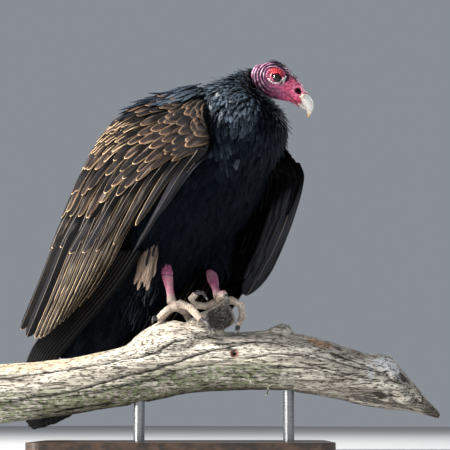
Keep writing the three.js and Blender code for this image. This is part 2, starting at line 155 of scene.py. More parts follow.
def addCamera(p):
    a, e = math.radians(p["azimuth"]), math.radians(p["elevation"])
    back = Vector((math.sin(a) * math.cos(e), -math.cos(a) * math.cos(e), math.sin(e)))
    data = bpy.data.cameras.new("camera")
    data.lens, data.sensor_width = p["lens"], 36
    data.clip_start, data.clip_end = 0.05, 50
    scene.camera = aimed("camera", data, Vector(p["aim"]) + back * p["distance"], -back)


def addLights():
    for name, (place, size, watts, colour) in studioLights.items():
        data = bpy.data.lights.new(name, "AREA")
        data.shape, data.size, data.energy, data.color = "DISK", size, watts, colour
        aimed(name, data, place, Vector((0, 0, 0.3)) - Vector(place))
    world = bpy.data.worlds.new("studio")
    world.use_nodes = True
    sky = world.node_tree.nodes["Background"]
    sky.inputs["Color"].default_value = (*backdrop["colour"], 1)
    sky.inputs["Strength"].default_value = backdrop["strength"]
    scene.world = world
    scene.view_settings.view_transform = "Standard"


def addFloor():
    f = Finish("paleFloor", Roughness=0.85)
    f.done(f.blend(f.noise(f.place(), 3.0), "b2b3b5", "bbbcbd"))
    corners = np.array([(-1, -1, 0), (1, -1, 0), (1, 1, 0), (-1, 1, 0)]) * backdrop["floorSize"]
    floor = bpy.data.objects.new("floor", meshFrom("floor", corners, np.array([[0, 1, 2, 3]])))
    floor.data.materials.append(f.material)
    scene.collection.objects.link(floor)


# meshes
def meshFrom(name, places, faces):
    # faces is an array with three or four columns
    faces = np.ascontiguousarray(faces, np.int32)
    mesh = bpy.data.meshes.new(name)
    mesh.vertices.add(len(places))
    mesh.vertices.foreach_set("co", np.ascontiguousarray(places, np.float32).ravel())
    mesh.loops.add(faces.size)
    mesh.loops.foreach_set("vertex_index", faces.ravel())
    mesh.polygons.add(len(faces))
    mesh.polygons.foreach_set("loop_start", np.arange(0, faces.size, faces.shape[1], dtype=np.int32))
    mesh.update(calc_edges=True)
    mesh.polygons.foreach_set("use_smooth", np.full(len(faces), True))
    return mesh


def setAttribute(mesh, name, values):
    values = np.ascontiguousarray(values, np.float32)
    kind, key = ("FLOAT", "value") if values.ndim == 1 else ("FLOAT_VECTOR", "vector")
    mesh.attributes.new(name, kind, "POINT").data.foreach_set(key, values.ravel())


def addPiece(name, mesh, slot, replaced, *materials):
    piece = bpy.data.objects.new(name, mesh)
    for material in materials:
        mesh.materials.append(material)
    scene.collection.objects.link(piece)
    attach(piece, "root")
    if replaced:
        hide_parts(*replaced)


def readArray(items, key, width, kind=np.float32):
    values = np.zeros(len(items) * width, kind)
    items.foreach_get(key, values)
    return values.reshape(-1, width)


def meshArrays(mesh):
    mesh.calc_loop_triangles()
    places = readArray(mesh.vertices, "co", 3).astype(float)
    return places, readArray(mesh.loop_triangles, "vertices", 3, np.int32)


def welded(places, faces):
    # one vertex for each place
    keys = np.round(places / 2e-5).astype(np.int64)
    _, first, back = np.unique(keys, axis=0, return_index=True, return_inverse=True)
    faces = back.ravel()[faces]
    whole = (faces != np.roll(faces, -1, axis=1)).all(1)
    return places[first], faces[whole]


def joined(parts):
    # each part is places, faces and any more columns; the faces are numbered on
    starts = np.cumsum([0] + [len(part[0]) for part in parts])
    moved = [(part[0], part[1] + start, *part[2:]) for part, start in zip(parts, starts)]
    return [np.concatenate(column) for column in zip(*moved)]


def solidArrays(names, grow=0.0):
    # the named nodes' welded meshes together, each grown all round
    parts = [welded(*meshArrays(nodes[name].data)) for name in names]
    return joined([(places + vertexNormals(places, faces) * grow, faces) for places, faces in parts])


def gathered(index, values, count):
    # for each of count places, the sum of the rows of values whose index names it
    return np.stack([np.bincount(index, column, count) for column in values.T], -1)


def vertexNormals(places, faces):
    corners = [places[faces[:, k]] for k in range(faces.shape[1])]
    if len(corners) == 4:
        across = np.cross(corners[2] - corners[0], corners[3] - corners[1])
    else:
        across = np.cross(corners[1] - corners[0], corners[2] - corners[0])
    return unit(sum(gathered(faces[:, k], across, len(places)) for k in range(len(corners))))


def remeshed(places, faces, voxel):
    # one closed even mesh of quads round everything in the arrays
    mesh = meshFrom("work", places, faces)
    work = bpy.data.objects.new("work", mesh)
    scene.collection.objects.link(work)
    remesh = work.modifiers.new("remesh", "REMESH")
    remesh.mode, remesh.voxel_size = "VOXEL", voxel
    made = bpy.data.meshes.new_from_object(work.evaluated_get(bpy.context.evaluated_depsgraph_get()))
    places = readArray(made.vertices, "co", 3).astype(float)
    quads = readArray(made.loops, "vertex_index", 1, np.int32).reshape(-1, 4)
    bpy.data.objects.remove(work)
    bpy.data.meshes.remove(mesh)
    bpy.data.meshes.remove(made)
    return places, quads


def edgesOf(faces):
    pairs = stacked(faces, np.roll(faces, -1, axis=1)).reshape(-1, 2)
    return np.unique(np.sort(pairs, axis=1), axis=0)


def smoothed(values, edges, rounds, share=0.5, hold=None):
    # moves every value towards its neighbours' mean; hold is how much of each move is kept back
    a, b = edges.T
    total = len(values)
    count = np.maximum(np.bincount(a, minlength=total) + np.bincount(b, minlength=total), 1)[:, None]
    free = share if hold is None else share * (1 - hold)[:, None]
    for _ in range(rounds):
        mean = (gathered(a, values[b], total) + gathered(b, values[a], total)) / count
        values = values + free * (mean - values)
    return values


def keptSize(start, places, faces, edges, rounds):
    # gives back what smoothing took off, and returns the normals with the places
    normals = vertexNormals(places, faces)
    lost = ((start - places) * normals).sum(1)[:, None]
    return places + normals * smoothed(lost, edges, rounds), normals


def treeOf(places, faces):
    return BVHTree.FromPolygons(places.tolist(), faces.tolist())


def nodeTree(*names):
    return treeOf(*solidArrays(names))


# materials: a small way of writing node graphs, where a colour is a web code
class Finish:
    # one Principled material; inputs that never change go on the shader's sockets
    def __init__(self, name, **plain):
        self.material = bpy.data.materials.new(name)
        self.material.use_nodes = True
        self.tree = self.material.node_tree
        self.shader = self.tree.nodes["Principled BSDF"]
        for key, value in plain.items():
            self.feed(self.shader.inputs[key.replace("_", " ")], value)

    def feed(self, socket, value):
        if isinstance(value, bpy.types.NodeSocket):
            self.tree.links.new(value, socket)
        elif isinstance(value, (int, float)):
            socket.default_value = value
        else:
            parts = shade(value) if isinstance(value, str) else value
            socket.default_value = (*parts, 1)[: len(socket.default_value)]

    def node(self, kind, inputs=None, **settings):
        made = self.tree.nodes.new(kind)
        for key, value in settings.items():
            setattr(made, key, value)
        for key, value in (inputs or {}).items():
            self.feed(made.inputs[key], value)
        return made

    def attribute(self, name, output="Vector"):
        return self.node("ShaderNodeAttribute", attribute_name=name).outputs[output]

    def split(self, name):
        return list(self.node("ShaderNodeSeparateXYZ", {0: self.attribute(name)}).outputs)

    def maths(self, operation, *values):
        return self.node("ShaderNodeMath", dict(enumerate(values)), operation=operation).outputs[0]

    def times(self, made, *values):
        for value in values:
            made = self.maths("MULTIPLY", made, value)
        return made

    def plus(self, made, *values):
        for value in values:
            made = self.maths("ADD", made, value)
        return made

    def band(self, value, low, high, start=0.0, end=1.0):
        # start where value is low, end where it is high, and smooth between
        inputs = {0: value, 1: low, 2: high, 3: start, 4: end}
        return self.node("ShaderNodeMapRange", inputs, interpolation_type="SMOOTHSTEP").outputs[0]

    def blend(self, share, a, b, kind="MIX"):
        made = self.node("ShaderNodeMix", data_type="RGBA", blend_type=kind)
        for index, value in ((0, share), (6, a), (7, b)):
            self.feed(made.inputs[index], value)
        return made.outputs[2]

    def layers(self, base, *coats):
        # each coat is a share and the colour laid over what is there
        for share, colour in coats:
            base = self.blend(share, base, colour)
        return base

    def noise(self, vector, scale, detail=3.0, rough=0.55):
        inputs = {"Vector": vector, "Scale": scale, "Detail": detail, "Roughness": rough}
        return self.node("ShaderNodeTexNoise", inputs).outputs[0]

    def cells(self, vector, scale, feature="F1"):
        inputs = {"Vector": vector, "Scale": scale}
        return self.node("ShaderNodeTexVoronoi", inputs, feature=feature).outputs["Distance"]

    def stretched(self, vector, scale, turn=(0, 0, 0)):
        return self.node("ShaderNodeMapping", {"Vector": vector, "Scale": scale, "Rotation": turn}).outputs[0]

    def place(self):
        return self.node("ShaderNodeTexCoord").outputs["Object"]

    def barbs(self, along, beside, spacing):
        slant = self.maths("SUBTRACT", along, self.times(self.maths("ABSOLUTE", beside), 1.5))
        return self.maths("SINE", self.times(slant, 2 * math.pi / spacing))

    def done(self, colour, rough=None, height=None, distance=0.0, strength=1.0):
        # rough is a pattern, and the roughness where it is low and high; the height is for the bump
        self.feed(self.shader.inputs["Base Color"], colour)
        if rough:
            self.feed(self.shader.inputs["Roughness"], self.band(rough[0], 0.3, 0.7, *rough[1:]))
        if height is not None:
            inputs = {"Height": height, "Distance": distance, "Strength": strength}
            self.feed(self.shader.inputs["Normal"], self.node("ShaderNodeBump", inputs).outputs[0])
        return self.material


# the vane attribute holds millimetres along, millimetres from the shaft, and millimetres to the
# rim; the look attribute holds 0 to 1 along, a number of the feather's own, and a tone
bodyColours = {
    "dark": "03060d",
    "light": "667484",
    "pale": "b5babf",
    "umber": "2c221d",
    "brown": "ab9584",
    "sheen": (0.45, 0.6, 0.9),
    "gloss": (0.42, 0.62, 1.0),
    "barbSpacing": 0.9,
}


def bodyFeatherFinish(p):
    # tone 0 is black, 1 grey, 1.4 hoary, and 2 brown
    f = Finish(
        "contourFeather", Sheen_Weight=0.01, Sheen_Roughness=0.4, Specular_IOR_Level=0.1,
        Sheen_Tint=p["sheen"], Specular_Tint=p["gloss"],
    )
    along, beside, _ = f.split("vane")
    share, own, tone = f.split("look")
    spot = f.node("ShaderNodeCombineXYZ", {0: f.times(along, 0.22), 1: beside, 2: f.times(own, 90)})
    hairs = f.noise(spot.outputs[0], 1.9, 2.0)
    lift = f.plus(f.times(own, 0.35), f.band(hairs, 0.4, 0.7, 0.0, 0.75))
    lift = f.times(lift, f.band(share, 0.2, 1.0, 0.35, 1.0), f.band(tone, 0.0, 1.0, 0.03, 1.25))
    brown = f.blend(f.band(hairs, 0.2, 0.5), p["umber"], p["brown"])
    colour = f.layers(
        p["dark"], (lift, p["light"]), (f.times(hairs, f.band(tone, 1.0, 1.4)), p["pale"]),
        (f.band(tone, 1.6, 1.9), brown),
    )
    comb = f.times(f.barbs(along, beside, p["barbSpacing"]), 0.25)
    return f.done(colour, (hairs, 0.34, 0.55), f.plus(hairs, comb), 0.0005, 0.8)


flightColours = {
    "middle": "191516",
    "margin": "8a6f5a",
    "rim": "ffdfb2",
    "shaft": "aa9e90",
    "bloom": "b3a69b",
    "slate": "232328",
    "shaded": (0.3, 0.5),  # how far along each feather painted shade runs, where the ones above it cover it
    "rimWidth": 0.95,
    "marginWidth": 3.0,
    "barbSpacing": 0.8,
}
# what the other wing feathers change
wingFinishes = {
    "flight": {},
    "covert": {
        "middle": "2c2423", "margin": "ab7e5e", "rim": "ffe0b4", "shaft": "1d1816", "bloom": "b3a498",
        "slate": "14161c", "shaded": (0.56, 0.8), "rimWidth": 1.4, "marginWidth": 4.8,
    },
    "greatCovert": {"shaded": (0.54, 0.66), "rimWidth": 1.5},
    "brownFlight": {"middle": "0c0a0a", "margin": "3a2a20", "rim": "b98f63", "bloom": "302824"},
    "slateFlight": {"middle": "3c3d43", "margin": "4b4846", "rim": "6d6862", "bloom": "74767c"},
    "darkFlight": {
        "middle": "050507", "margin": "0e0d0e", "rim": "2a2624", "shaft": "55514e", "bloom": "141417",
        "slate": "050506", "shaded": (0.0, 0.3), "rimWidth": 0.5, "barbSpacing": 0.9,
    },
}


def wingFeatherFinish(name, p):
    # tone is how pale the rim is; past 1.5 the web on the shaft's far side is painted black as shade, and
    # below 0 lies the dark underside
    f = Finish(name, Specular_IOR_Level=0.05)
    along, beside, rim = f.split("vane")
    share, own, tone = f.split("look")
    spot = f.node("ShaderNodeCombineXYZ", {0: f.times(along, 0.07), 1: beside, 2: f.times(own, 60)})
    streaks = f.noise(spot.outputs[0], 0.42, 3.0, 0.6)
    clouds = f.noise(spot.outputs[0], 0.14, 2.0)
    wavy = f.plus(rim, f.times(f.maths("SUBTRACT", streaks, 0.5), 1.5))
    toMargin = f.times(
        f.band(wavy, p["marginWidth"], 0.8), f.band(share, 0.25, 0.7, 0.1, 1.0),
        f.band(clouds, 0.35, 0.58, 0.5, 1.0), f.plus(f.times(own, 0.6), 0.55),
        f.band(tone, 0.0, 0.9, 0.35, 1.0),
    )
    toRim = f.band(wavy, p["rimWidth"] * 1.5, p["rimWidth"] * 0.8)
    toRim = f.times(toRim, f.band(share, 0.3, 0.7), f.maths("MINIMUM", tone, 1.0))
    bloom = f.times(
        f.band(streaks, 0.5, 0.68), f.band(share, 0.15, 0.6, 0.03, 0.62),
        f.band(clouds, 0.38, 0.62, 0.25, 1.0), f.band(tone, 0.0, 1.0, 0.25, 1.0),
    )
    # painted shade: the web beyond the shaft turns black on a feather whose tone is past 1.5
    shadedWeb = f.times(f.band(beside, -0.3, 0.5), f.band(tone, 1.5, 1.9), 0.94)
    onShaft = f.band(f.maths("ABSOLUTE", beside), 0.55, 0.3)
    below = f.blend(f.band(streaks, 0.4, 0.75, 0.0, 0.6), "070709", "1d1c1f")
    colour = f.layers(
        p["middle"],
        (toMargin, p["margin"]),
        (bloom, p["bloom"]),
        (f.times(f.band(streaks, 0.47, 0.36), 0.8), "070708"),
        (f.band(own, 0.6, 0.68, 0.0, 0.75), p["slate"]),
        # painted shade on the part of each feather that the ones above it cover
        (f.band(share, *p["shaded"], 0.93, 0.0), "040405"),
        (toRim, p["rim"]),
        (shadedWeb, "040406"),
        (f.times(onShaft, 0.8), p["shaft"]),
        (f.band(tone, -0.95, -0.2, 1.0, 0.0), below),
    )
    comb = f.times(f.barbs(along, beside, p["barbSpacing"]), 0.25)
    return f.done(colour, (streaks, 0.32, 0.5), f.plus(comb, f.plus(streaks, onShaft)), 0.0005, 0.8)


def skinFinish():
    # the tint attribute is the colour; folds and pores come from the mesh and the bump
    f = Finish("nakedSkin", Specular_IOR_Level=0.5, Subsurface_Weight=0.06, Subsurface_Scale=0.001)
    tint = f.attribute("tint")
    place = f.place()
    pores = f.noise(place, 900, 3.0)
    mottle = f.noise(place, 260, 4.0)
    darker = f.blend(0.5, tint, "5c2434", "MULTIPLY")
    paler = f.blend(0.45, tint, "fff2f4", "OVERLAY")
    colour = f.blend(f.band(mottle, 0.38, 0.58), darker, f.blend(f.band(pores, 0.45, 0.65), tint, paler))
    height = f.plus(pores, f.times(f.cells(place, 700), 0.8))
    return f.done(colour, (mottle, 0.3, 0.5), height, 0.0004, 0.7)


def scaledSkinFinish():
    f = Finish("scaledSkin", Specular_IOR_Level=0.45)
    place = f.place()
    scales = f.cells(place, 480, "DISTANCE_TO_EDGE")
    chalk = f.noise(place, 420, 4.0)
    colour = f.layers(
        f.attribute("tint"),
        (f.band(chalk, 0.42, 0.62, 0.0, 0.28), "fff4ee"),
        (f.band(f.noise(place, 150, 3.0), 0.55, 0.75, 0.0, 0.45), "4d4037"),
        (f.band(scales, 0.0, 0.09, 0.6, 0.0), "3a2b26"),
    )
    height = f.plus(f.band(scales, 0.0, 0.2), f.times(chalk, 0.5))
    return f.done(colour, (chalk, 0.4, 0.65), height, 0.0005, 0.8)


def downFinish():
    f = Finish("underDown", Specular_IOR_Level=0.25)
    fluff = f.noise(f.place(), 320, 4.0)
    return f.done(f.blend(fluff, "050608", "111318"), (fluff, 0.7, 0.9), fluff, 0.001, 0.8)


def billFinish():
    f = Finish("ivoryBill", Specular_IOR_Level=0.5, Subsurface_Weight=0.2, Subsurface_Scale=0.002)
    grain = f.noise(f.place(), 380, 4.0)
    stain = f.noise(f.place(), 130, 3.0)
    colour = f.layers(
        f.attribute("tint"), (f.band(grain, 0.5, 0.75, 0.0, 0.35), "b89b72"),
        (f.band(stain, 0.58, 0.75, 0.0, 0.5), "8c6f4d"),
    )
    return f.done(colour, (grain, 0.26, 0.42), grain, 0.0003, 0.5)


def clawFinish():
    f = Finish("hornClaw", Specular_IOR_Level=0.55)
    grain = f.noise(f.place(), 480, 4.0)
    wear = f.band(f.noise(f.place(), 210, 3.0), 0.52, 0.7, 0.0, 0.8)
    colour = f.layers("17161a", (grain, "4b474a"), (wear, "a29c94"))
    return f.done(colour, (grain, 0.25, 0.45), grain, 0.0003, 0.5)


def eyeFinish():
    # the ring attribute is the distance from the middle of the pupil in millimetres
    f = Finish("darkEye", Roughness=0.05, Specular_IOR_Level=0.5)
    ring = f.attribute("ring", "Fac")
    fibres = f.noise(f.place(), 900, 3.0)
    iris = f.layers("120806", (fibres, "3c1e12"), (f.band(ring, 3.2, 4.1), "080403"))
    return f.done(f.blend(f.band(ring, 2.1, 2.4), "020202", iris), None, fibres, 0.0001, 0.2)


def woodFinish():
    # the wood attribute is along the limb and then across it, in metres; the marks attribute is
    # the darkness of cracks and of the painted shade under knots, the share of lichen, and the share of the
    # tint attribute's colour, which holds stains and painted shade
    f = Finish("weatheredWood", Specular_IOR_Level=0.25)
    wood = f.attribute("wood")
    crackAndShade, lichen, stainAndShade = f.split("marks")
    place = f.place()
    fibres = f.noise(f.stretched(wood, (9, 150, 150)), 3.2, 6.0, 0.62)
    pits = f.noise(f.stretched(wood, (46, 210, 210)), 3.2, 3.0, 0.6)
    strands = f.noise(f.stretched(wood, (5, 60, 60)), 2.2, 4.0, 0.6)
    clouds = f.noise(f.stretched(wood, (1, 3, 3)), 12, 4.0)
    speckle = f.noise(place, 520, 3.0)
    colour = f.layers(
        "8f897f",
        (f.band(strands, 0.34, 0.62), "f3ebdc"),
        (f.band(clouds, 0.45, 0.58, 0.0, 0.5), "b3a99b"),
        # the tint's own stains, with painted shade under the limb and on the snag
        (f.times(stainAndShade, f.band(speckle, 0.2, 0.6, 0.65, 1.0)), f.attribute("tint")),
        (f.times(lichen, f.band(f.noise(place, 150, 5.0), 0.42, 0.56), 0.8), "8f9a72"),
        (f.band(fibres, 0.38, 0.46, 0.9, 0.0), "3b342d"),
        (f.band(pits, 0.37, 0.43, 0.85, 0.0), "29231e"),
        # the cracks, and painted shade in the folds under the knots
        (crackAndShade, "120e0b"),
    )
    height = f.plus(f.times(fibres, 1.4), f.plus(strands, f.times(speckle, 0.3)), f.band(pits, 0.37, 0.46))
    return f.done(colour, (fibres, 0.9, 0.72), height, 0.0018)


def standWoodFinish():
    f = Finish("stainedBase", Coat_Weight=0.25, Coat_Roughness=0.3)
    place = f.stretched(f.place(), (1, 14, 14), (0, 0, math.radians(-40)))
    rings = f.noise(place, 7, 5.0, 0.6)
    pores = f.noise(place, 60, 3.0)
    grain = f.blend(f.band(rings, 0.35, 0.65), "1f1610", "4a3423")
    colour = f.blend(f.band(pores, 0.6, 0.7, 0.0, 0.5), grain, "120c08")
    return f.done(colour, (rings, 0.38, 0.5), f.plus(rings, pores), 0.0003, 0.4)


def rodFinish():
    f = Finish("brushedSteel", Metallic=1.0, Anisotropic=0.5)
    lines = f.noise(f.stretched(f.place(), (40, 40, 900)), 1.0, 3.0)
    return f.done(f.blend(lines, "77797c", "a9abad"), (lines, 0.26, 0.4), lines, 0.0001, 0.3)


# the head's own frame: x to the bill, z up, both eyes at x = z = 0, in millimetres
headPose = {"place": (140, 18, 479), "turn": 36, "dip": 34, "eye": (2.8, 12.6, -2.6), "eyeRadius": 8.0}
headMatrix = (
    Matrix.Translation(headPose["place"])
    @ Matrix.Rotation(math.radians(headPose["turn"]), 4, "Z")
    @ Matrix.Rotation(math.radians(headPose["dip"]), 4, "Y")
)
limbTurn = math.radians(40)
limbShift = np.array((20, 0, 0))  # the bird and its limb stand this far forward of the stand's centre


def carried(places, matrix):
    matrix = np.array(matrix)
    return places @ matrix[:3, :3].T + matrix[:3, 3]


def inHead(places):
    return carried(places / mm, headMatrix.inverted())


def fromHead(places):
    return carried(places, headMatrix) * mm


def turned(q, angle):
    c, s = math.cos(angle), math.sin(angle)
    return stacked(q[:, 0] * c - q[:, 1] * s, q[:, 0] * s + q[:, 1] * c, q[:, 2])


def inLimb(places):
    # along the limb, across it and up, in millimetres
    return turned(places / mm - limbShift, -limbTurn)


def fromLimb(q):
    return (turned(q, limbTurn) + limbShift) * mm


headSkin = {
    "foldFrom": 11.5,  # the folds behind the eye start this far from its middle, in millimetres
    "foldSpacing": 3.9,
    "foldDepth": 1.25,
    "lidRadius": 4.4,
    "lidShift": (-0.5, 0.1),  # the opening's middle from the eyeball's
    "lidHeight": 0.8,
    "nostril": (36.0, 0.4),
    # where the horn of the bill begins, as height and place along the head
    "cere": [(-16, 46.5), (-13.5, 44.3), (-10.8, 41.6), (-6.7, 44.2), (0.3, 46.4), (4, 47)],
    # bars of joined warts before the eye: from, to, half width
    "bars": [((12.7, 5.8), (14.0, -1.2), 1.05), ((11.5, 2.2), (11.1, -4.0), 0.85)],
    # dark hollows of the lores: middle, and how far they reach each way
    "lores": [
        (13.6, 8.9, 3.6, 2.6), (16.4, 3.4, 1.7, 4.2), (12.4, -1.5, 1.2, 4.5), (8.4, 11.6, 3.6, 1.2),
        (2.5, 12.4, 4.5, 0.9),
    ],
    "coral": "ff4650",
    "pink": "f4648e",
    "blush": "ff9bb4",
    "jaw": "b4598a",
    "purple": "7d5079",
    "pale": "f0cbe2",
    "dark": "0c0508",
    "crown": "1d1216",
    "white": "fffdf8",
}


def wartsOn(x, z, fine, p):
    # how much of each place pale warts take up, below and in front of the eye
    random = np.random.default_rng(12)
    warts = [0 * x]
    for k in range(30):
        if k < 14:
            turn = math.radians(random.uniform(-158, -50))
            at = random.uniform(7.7, 8.7)
            centre = (-at * math.cos(turn) + 2.3, at * math.sin(turn) - 2.5)
            size, slim = random.uniform(0.5, 0.8), 1.0
        else:
            centre = (random.uniform(10.8, 15.5), random.uniform(-7.5, 3.5))
            size, slim = random.uniform(0.55, 1.0), random.uniform(0.4, 0.8)
        dx, dz = x - centre[0], z - centre[1]
        away = ((dx - 0.5 * dz) / slim) ** 2 + (dz * 0.8) ** 2
        warts.append(np.exp(-((away / size**2) ** 1.4)))
    for start, end, width in p["bars"]:
        line = np.subtract(end, start)
        t = np.clip(((x - start[0]) * line[0] + (z - start[1]) * line[1]) / (line**2).sum(), 0, 1)
        off = np.hypot(x - start[0] - line[0] * t, z - start[1] - line[1] * t) + 0.25 * fine
        warts.append(np.exp(-((off / width) ** 4)))
    return most(*warts)


def headForm(places, p):
    # returns the lift of every point of the head's skin in millimetres, and its colour
    h = inHead(places)
    x, y, z = h.T
    out = np.abs(y)
    ex = x - headPose["eye"][0] - p["lidShift"][0]
    ez = z - headPose["eye"][2] - p["lidShift"][1]
    eye = np.hypot(ex, ez)
    angle = np.arctan2(ez, -ex)  # 0 straight back from the eye, and a quarter turn straight up
    side = ramp(out, 3, 10)
    warp = roughNoise(h, 15, 2, 3)
    fine = roughNoise(h, 4.0, 3, 9)

    # rows of folds run round the eye over the nape, the cheek and the throat
    def valleys(phase, sharp):
        return (1 - np.abs(np.sin(math.pi * phase))) ** sharp

    reach = np.hypot(ex * 0.95, ez) + 1.7 * warp
    valley = valleys(reach / p["foldSpacing"], 1.3)
    behind = ramp(ex, 7, -5) * ramp(reach, p["foldFrom"] - 1.5, p["foldFrom"] + 1.5)
    folded = most(behind, ramp(reach, 13, 16) * ramp(x, 20, 8) * ramp(z, -4, -11) * 0.55)
    minor = valleys((reach * 2.1 + 1.2 * fine) / p["foldSpacing"], 1.2)
    lift = -p["foldDepth"] * folded * valley + 0.4 * folded * (1 - valley) - 0.35 * folded * minor
    wrinkle = valleys((x * 0.45 + z * 0.85 + 2.6 * fine + 3 * warp) / 1.7, 1.5)
    onJaw = ramp(z, -7, -12) * ramp(x, 38, 20)
    lift += 0.22 * fine - 0.3 * wrinkle * onJaw * (1 - behind)

    # lids, and short creases that fan out from the eye
    crease = hill(eye, 7.8, 0.5) * side
    fan = np.abs(np.sin(angle * 10 + 2.4 * warp)) ** 4 * ramp(eye, 7.2, 8.6) * ramp(eye, 14, 10.5)
    fan = fan * ramp(ex, 9, 4) * side
    lift += p["lidHeight"] * hill(eye, p["lidRadius"] + 0.9, 0.8) * side - 0.45 * crease - 0.3 * fan
    lift += 0.8 * hill(eye, 8.6, 1.8) * ramp(ez, 1, 6) * side

    # the cere swells round the open nostril, and the gape runs back from the bill
    nx, nz = x - p["nostril"][0], z - p["nostril"][1]
    c, s = math.cos(math.radians(-16)), math.sin(math.radians(-16))
    ring = np.hypot((nx * c - nz * s) / 4.8, (nx * s + nz * c) / 3.5)
    lift += 1.3 * hill(ring, 1.45, 0.33) * ramp(out, 2, 4)
    gapeZ = -12.0 - 1.2 * ramp(np.clip(x, 18, 48), 22, 46)
    gape = hill(z, gapeZ, 0.6) * ramp(x, 17, 22) * ramp(out, 3, 5)
    lift += -0.7 * gape + 0.5 * hill(z - gapeZ, 1.9, 1.0) * ramp(x, 17, 24) * ramp(out, 3, 5)
    lift += 0.9 * hill(x, 25, 3.0) * ramp(z, -6, 3) - 0.6 * hill(x, 29.8, 1.1) * ramp(z, -8, 2)
    lift += 0.7 * hill(np.hypot(x - 19, (z - 1) * 0.8), 0, 4.0) * side
    wart = wartsOn(x, z, fine, p) * side
    lift += 0.8 * wart
    horn = x - np.interp(z, *np.array(p["cere"]).T)
    lift += 0.5 * hill(horn, -1.2, 1.2) - 2.6 * ramp(horn, -0.3, 0.5) * ramp(z, -15.5, -13.5)

    # colours
    mottled = 0.55 + 0.45 * ramp(fine, -0.2, 0.3)
    coral = ramp(eye, 15, 9.5) * ramp(ez + 0.25 * ex, -4, 2) * ramp(ex, 11, 5)
    pale = folded * (1 - valley) ** 2 * ramp(fine, -0.35, 0.4) * 0.8 * ramp(minor, 0.5, 0.1)
    # painted shade in the valleys of the folds, the jaw's wrinkles and the creases round the eye
    foldShade = most(
        np.clip(folded * ramp(valley, 0.22, 0.55), 0, 1), 0.75 * folded * ramp(minor, 0.4, 0.8),
        0.8 * onJaw * ramp(wrinkle, 0.45, 0.8) * (fine > -0.2), 0.8 * fan, 0.75 * crease * ramp(ez, 2, -3),
    )
    crown = most(
        ramp(z, 9.5, 13.5) * ramp(x, 12, 0) * ramp(x, -24, -14) * (0.6 + 0.4 * mottled),
        ramp(out, 10.5, 7) * ramp(z, 3, 9) * ramp(x, -6, 4) * ramp(x, 32, 24),
        0.95 * ramp(out, 4.2, 2.4) * ramp(z, 1, 4) * ramp(x, 46, 40),
    )
    lores = [np.hypot((x - cx) / rx, (z - cz) / rz) + 0.3 * fine for cx, cz, rx, rz in p["lores"]]
    lore = most(*[ramp(spot, 1.2, 0.7) for spot in lores], 0.9 * hill(eye, 6.9, 0.5) * ramp(ez, 0, -2)) * side
    whiteLid = hill(eye, 8.2, 0.5) * side * ramp(ez, -1.5, -4.5) * (fine > -0.1)
    colour = np.tile(shade(p["pink"]), (len(h), 1))
    for code, share in (
        (p["jaw"], most(onJaw * mottled, ramp(x, 22, 14) * 0.7)),
        (p["blush"], 0.35 * ramp(warp + fine, 0.1, 0.8) * ramp(x, 14, 22)),
        (p["purple"], folded * 0.8),
        (p["pale"], pale),
        (p["coral"], most(coral, hill(eye, 7.2, 1.0)) * side * 0.95),
        (p["crown"], crown * (0.78 + 0.2 * (fine > -0.1))),
        (p["dark"], np.clip(foldShade + 0.95 * lore, 0, 0.96)),
        ("ff9dba", 0.55 * hill(ring, 1.5, 0.4) * ramp(out, 2, 4)),
        # painted shade inside the open nostril
        ("3a0f1c", ramp(ring, 1.22, 1.0) * 0.95),
        ("4a1524", 0.85 * gape),
        ("1c0a0e", 0.85 * hill(eye, p["lidRadius"] - 0.2, 0.7) * side),
        (p["white"], 0.8 * whiteLid + 0.97 * ramp(wart, 0.25, 0.6)),
    ):
        colour = paint(colour, code, share)
    return lift, colour


legSkin = {
    "red": "ff7cb2",
    "rose": "ff8fb0",
    "mauve": "d25c9a",
    "cuff": "6e2a45",
    "cream": "f1ddcc",
    "toe": "cbb69f",
    "grime": "55473a",
    "scuteSpacing": 3.1,  # millimetres from one band across a toe to the next
    "scuteDepth": 0.3,
    "pads": {"right": (-28, -35, 187), "left": (31, -26, 195)},  # where the toes meet, in the limb's frame
}


def legForm(places, name, p):
    q = inLimb(places)
    away = lengthOf(q - p["pads"][name])
    rise = q[:, 2] - p["pads"][name][2]
    blotch = roughNoise(q, 9, 3, 5)
    onToe = ramp(away, 6, 11) * ramp(rise, 12, 5)
    band = np.abs(np.sin(math.pi * (away + 0.5 * blotch) / p["scuteSpacing"]))
    lift = onToe * p["scuteDepth"] * (band**0.6 - 0.7) + 0.16 * blotch + 0.5 * hill(rise, 45, 2.5)
    colour = mix(shade(p["toe"]), shade(p["cream"]), ramp(blotch, -0.3, 0.4)[:, None])
    colour = paint(colour, p["cream"], ramp(rise, 0, 6) * 0.8)
    if name == "right":
        cuff = hill(rise, 41.5, 1.0)
        lift -= 0.8 * cuff
        colour = paint(colour, p["red"], ramp(rise, 8, 22) * (0.6 + 0.4 * ramp(blotch, -0.4, 0.3)))
        colour = paint(colour, p["mauve"], ramp(rise, 39, 43) * 0.95)
        colour = paint(colour, p["cuff"], 0.9 * hill(rise, 41.5, 0.9))
    else:
        colour = paint(colour, p["rose"], ramp(rise, 4, 12) * (0.4 + 0.5 * (blotch > 0)))
        colour = paint(colour, p["mauve"], ramp(rise, 12, 17) * (0.55 + 0.4 * ramp(blotch, -0.5, 0.5)))
    dirt = onToe * ramp(band, 0.35, 0.05) * 0.8 + 0.5 * ramp(-blotch, 0.25, 0.7) * onToe
    return lift, paint(colour, p["grime"], np.minimum(dirt, 0.9))


skinSizes = {
    "bodyVoxel": 2.6 * mm,
    "headVoxel": 0.5 * mm,
    "legVoxel": 0.6 * mm,
    "grow": 0.9 * mm,  # closes the gaps between the body's solids
    "bodyDepth": 5.0 * mm,  # of the coat over the body
    "wingDepth": 1.3 * mm,
}


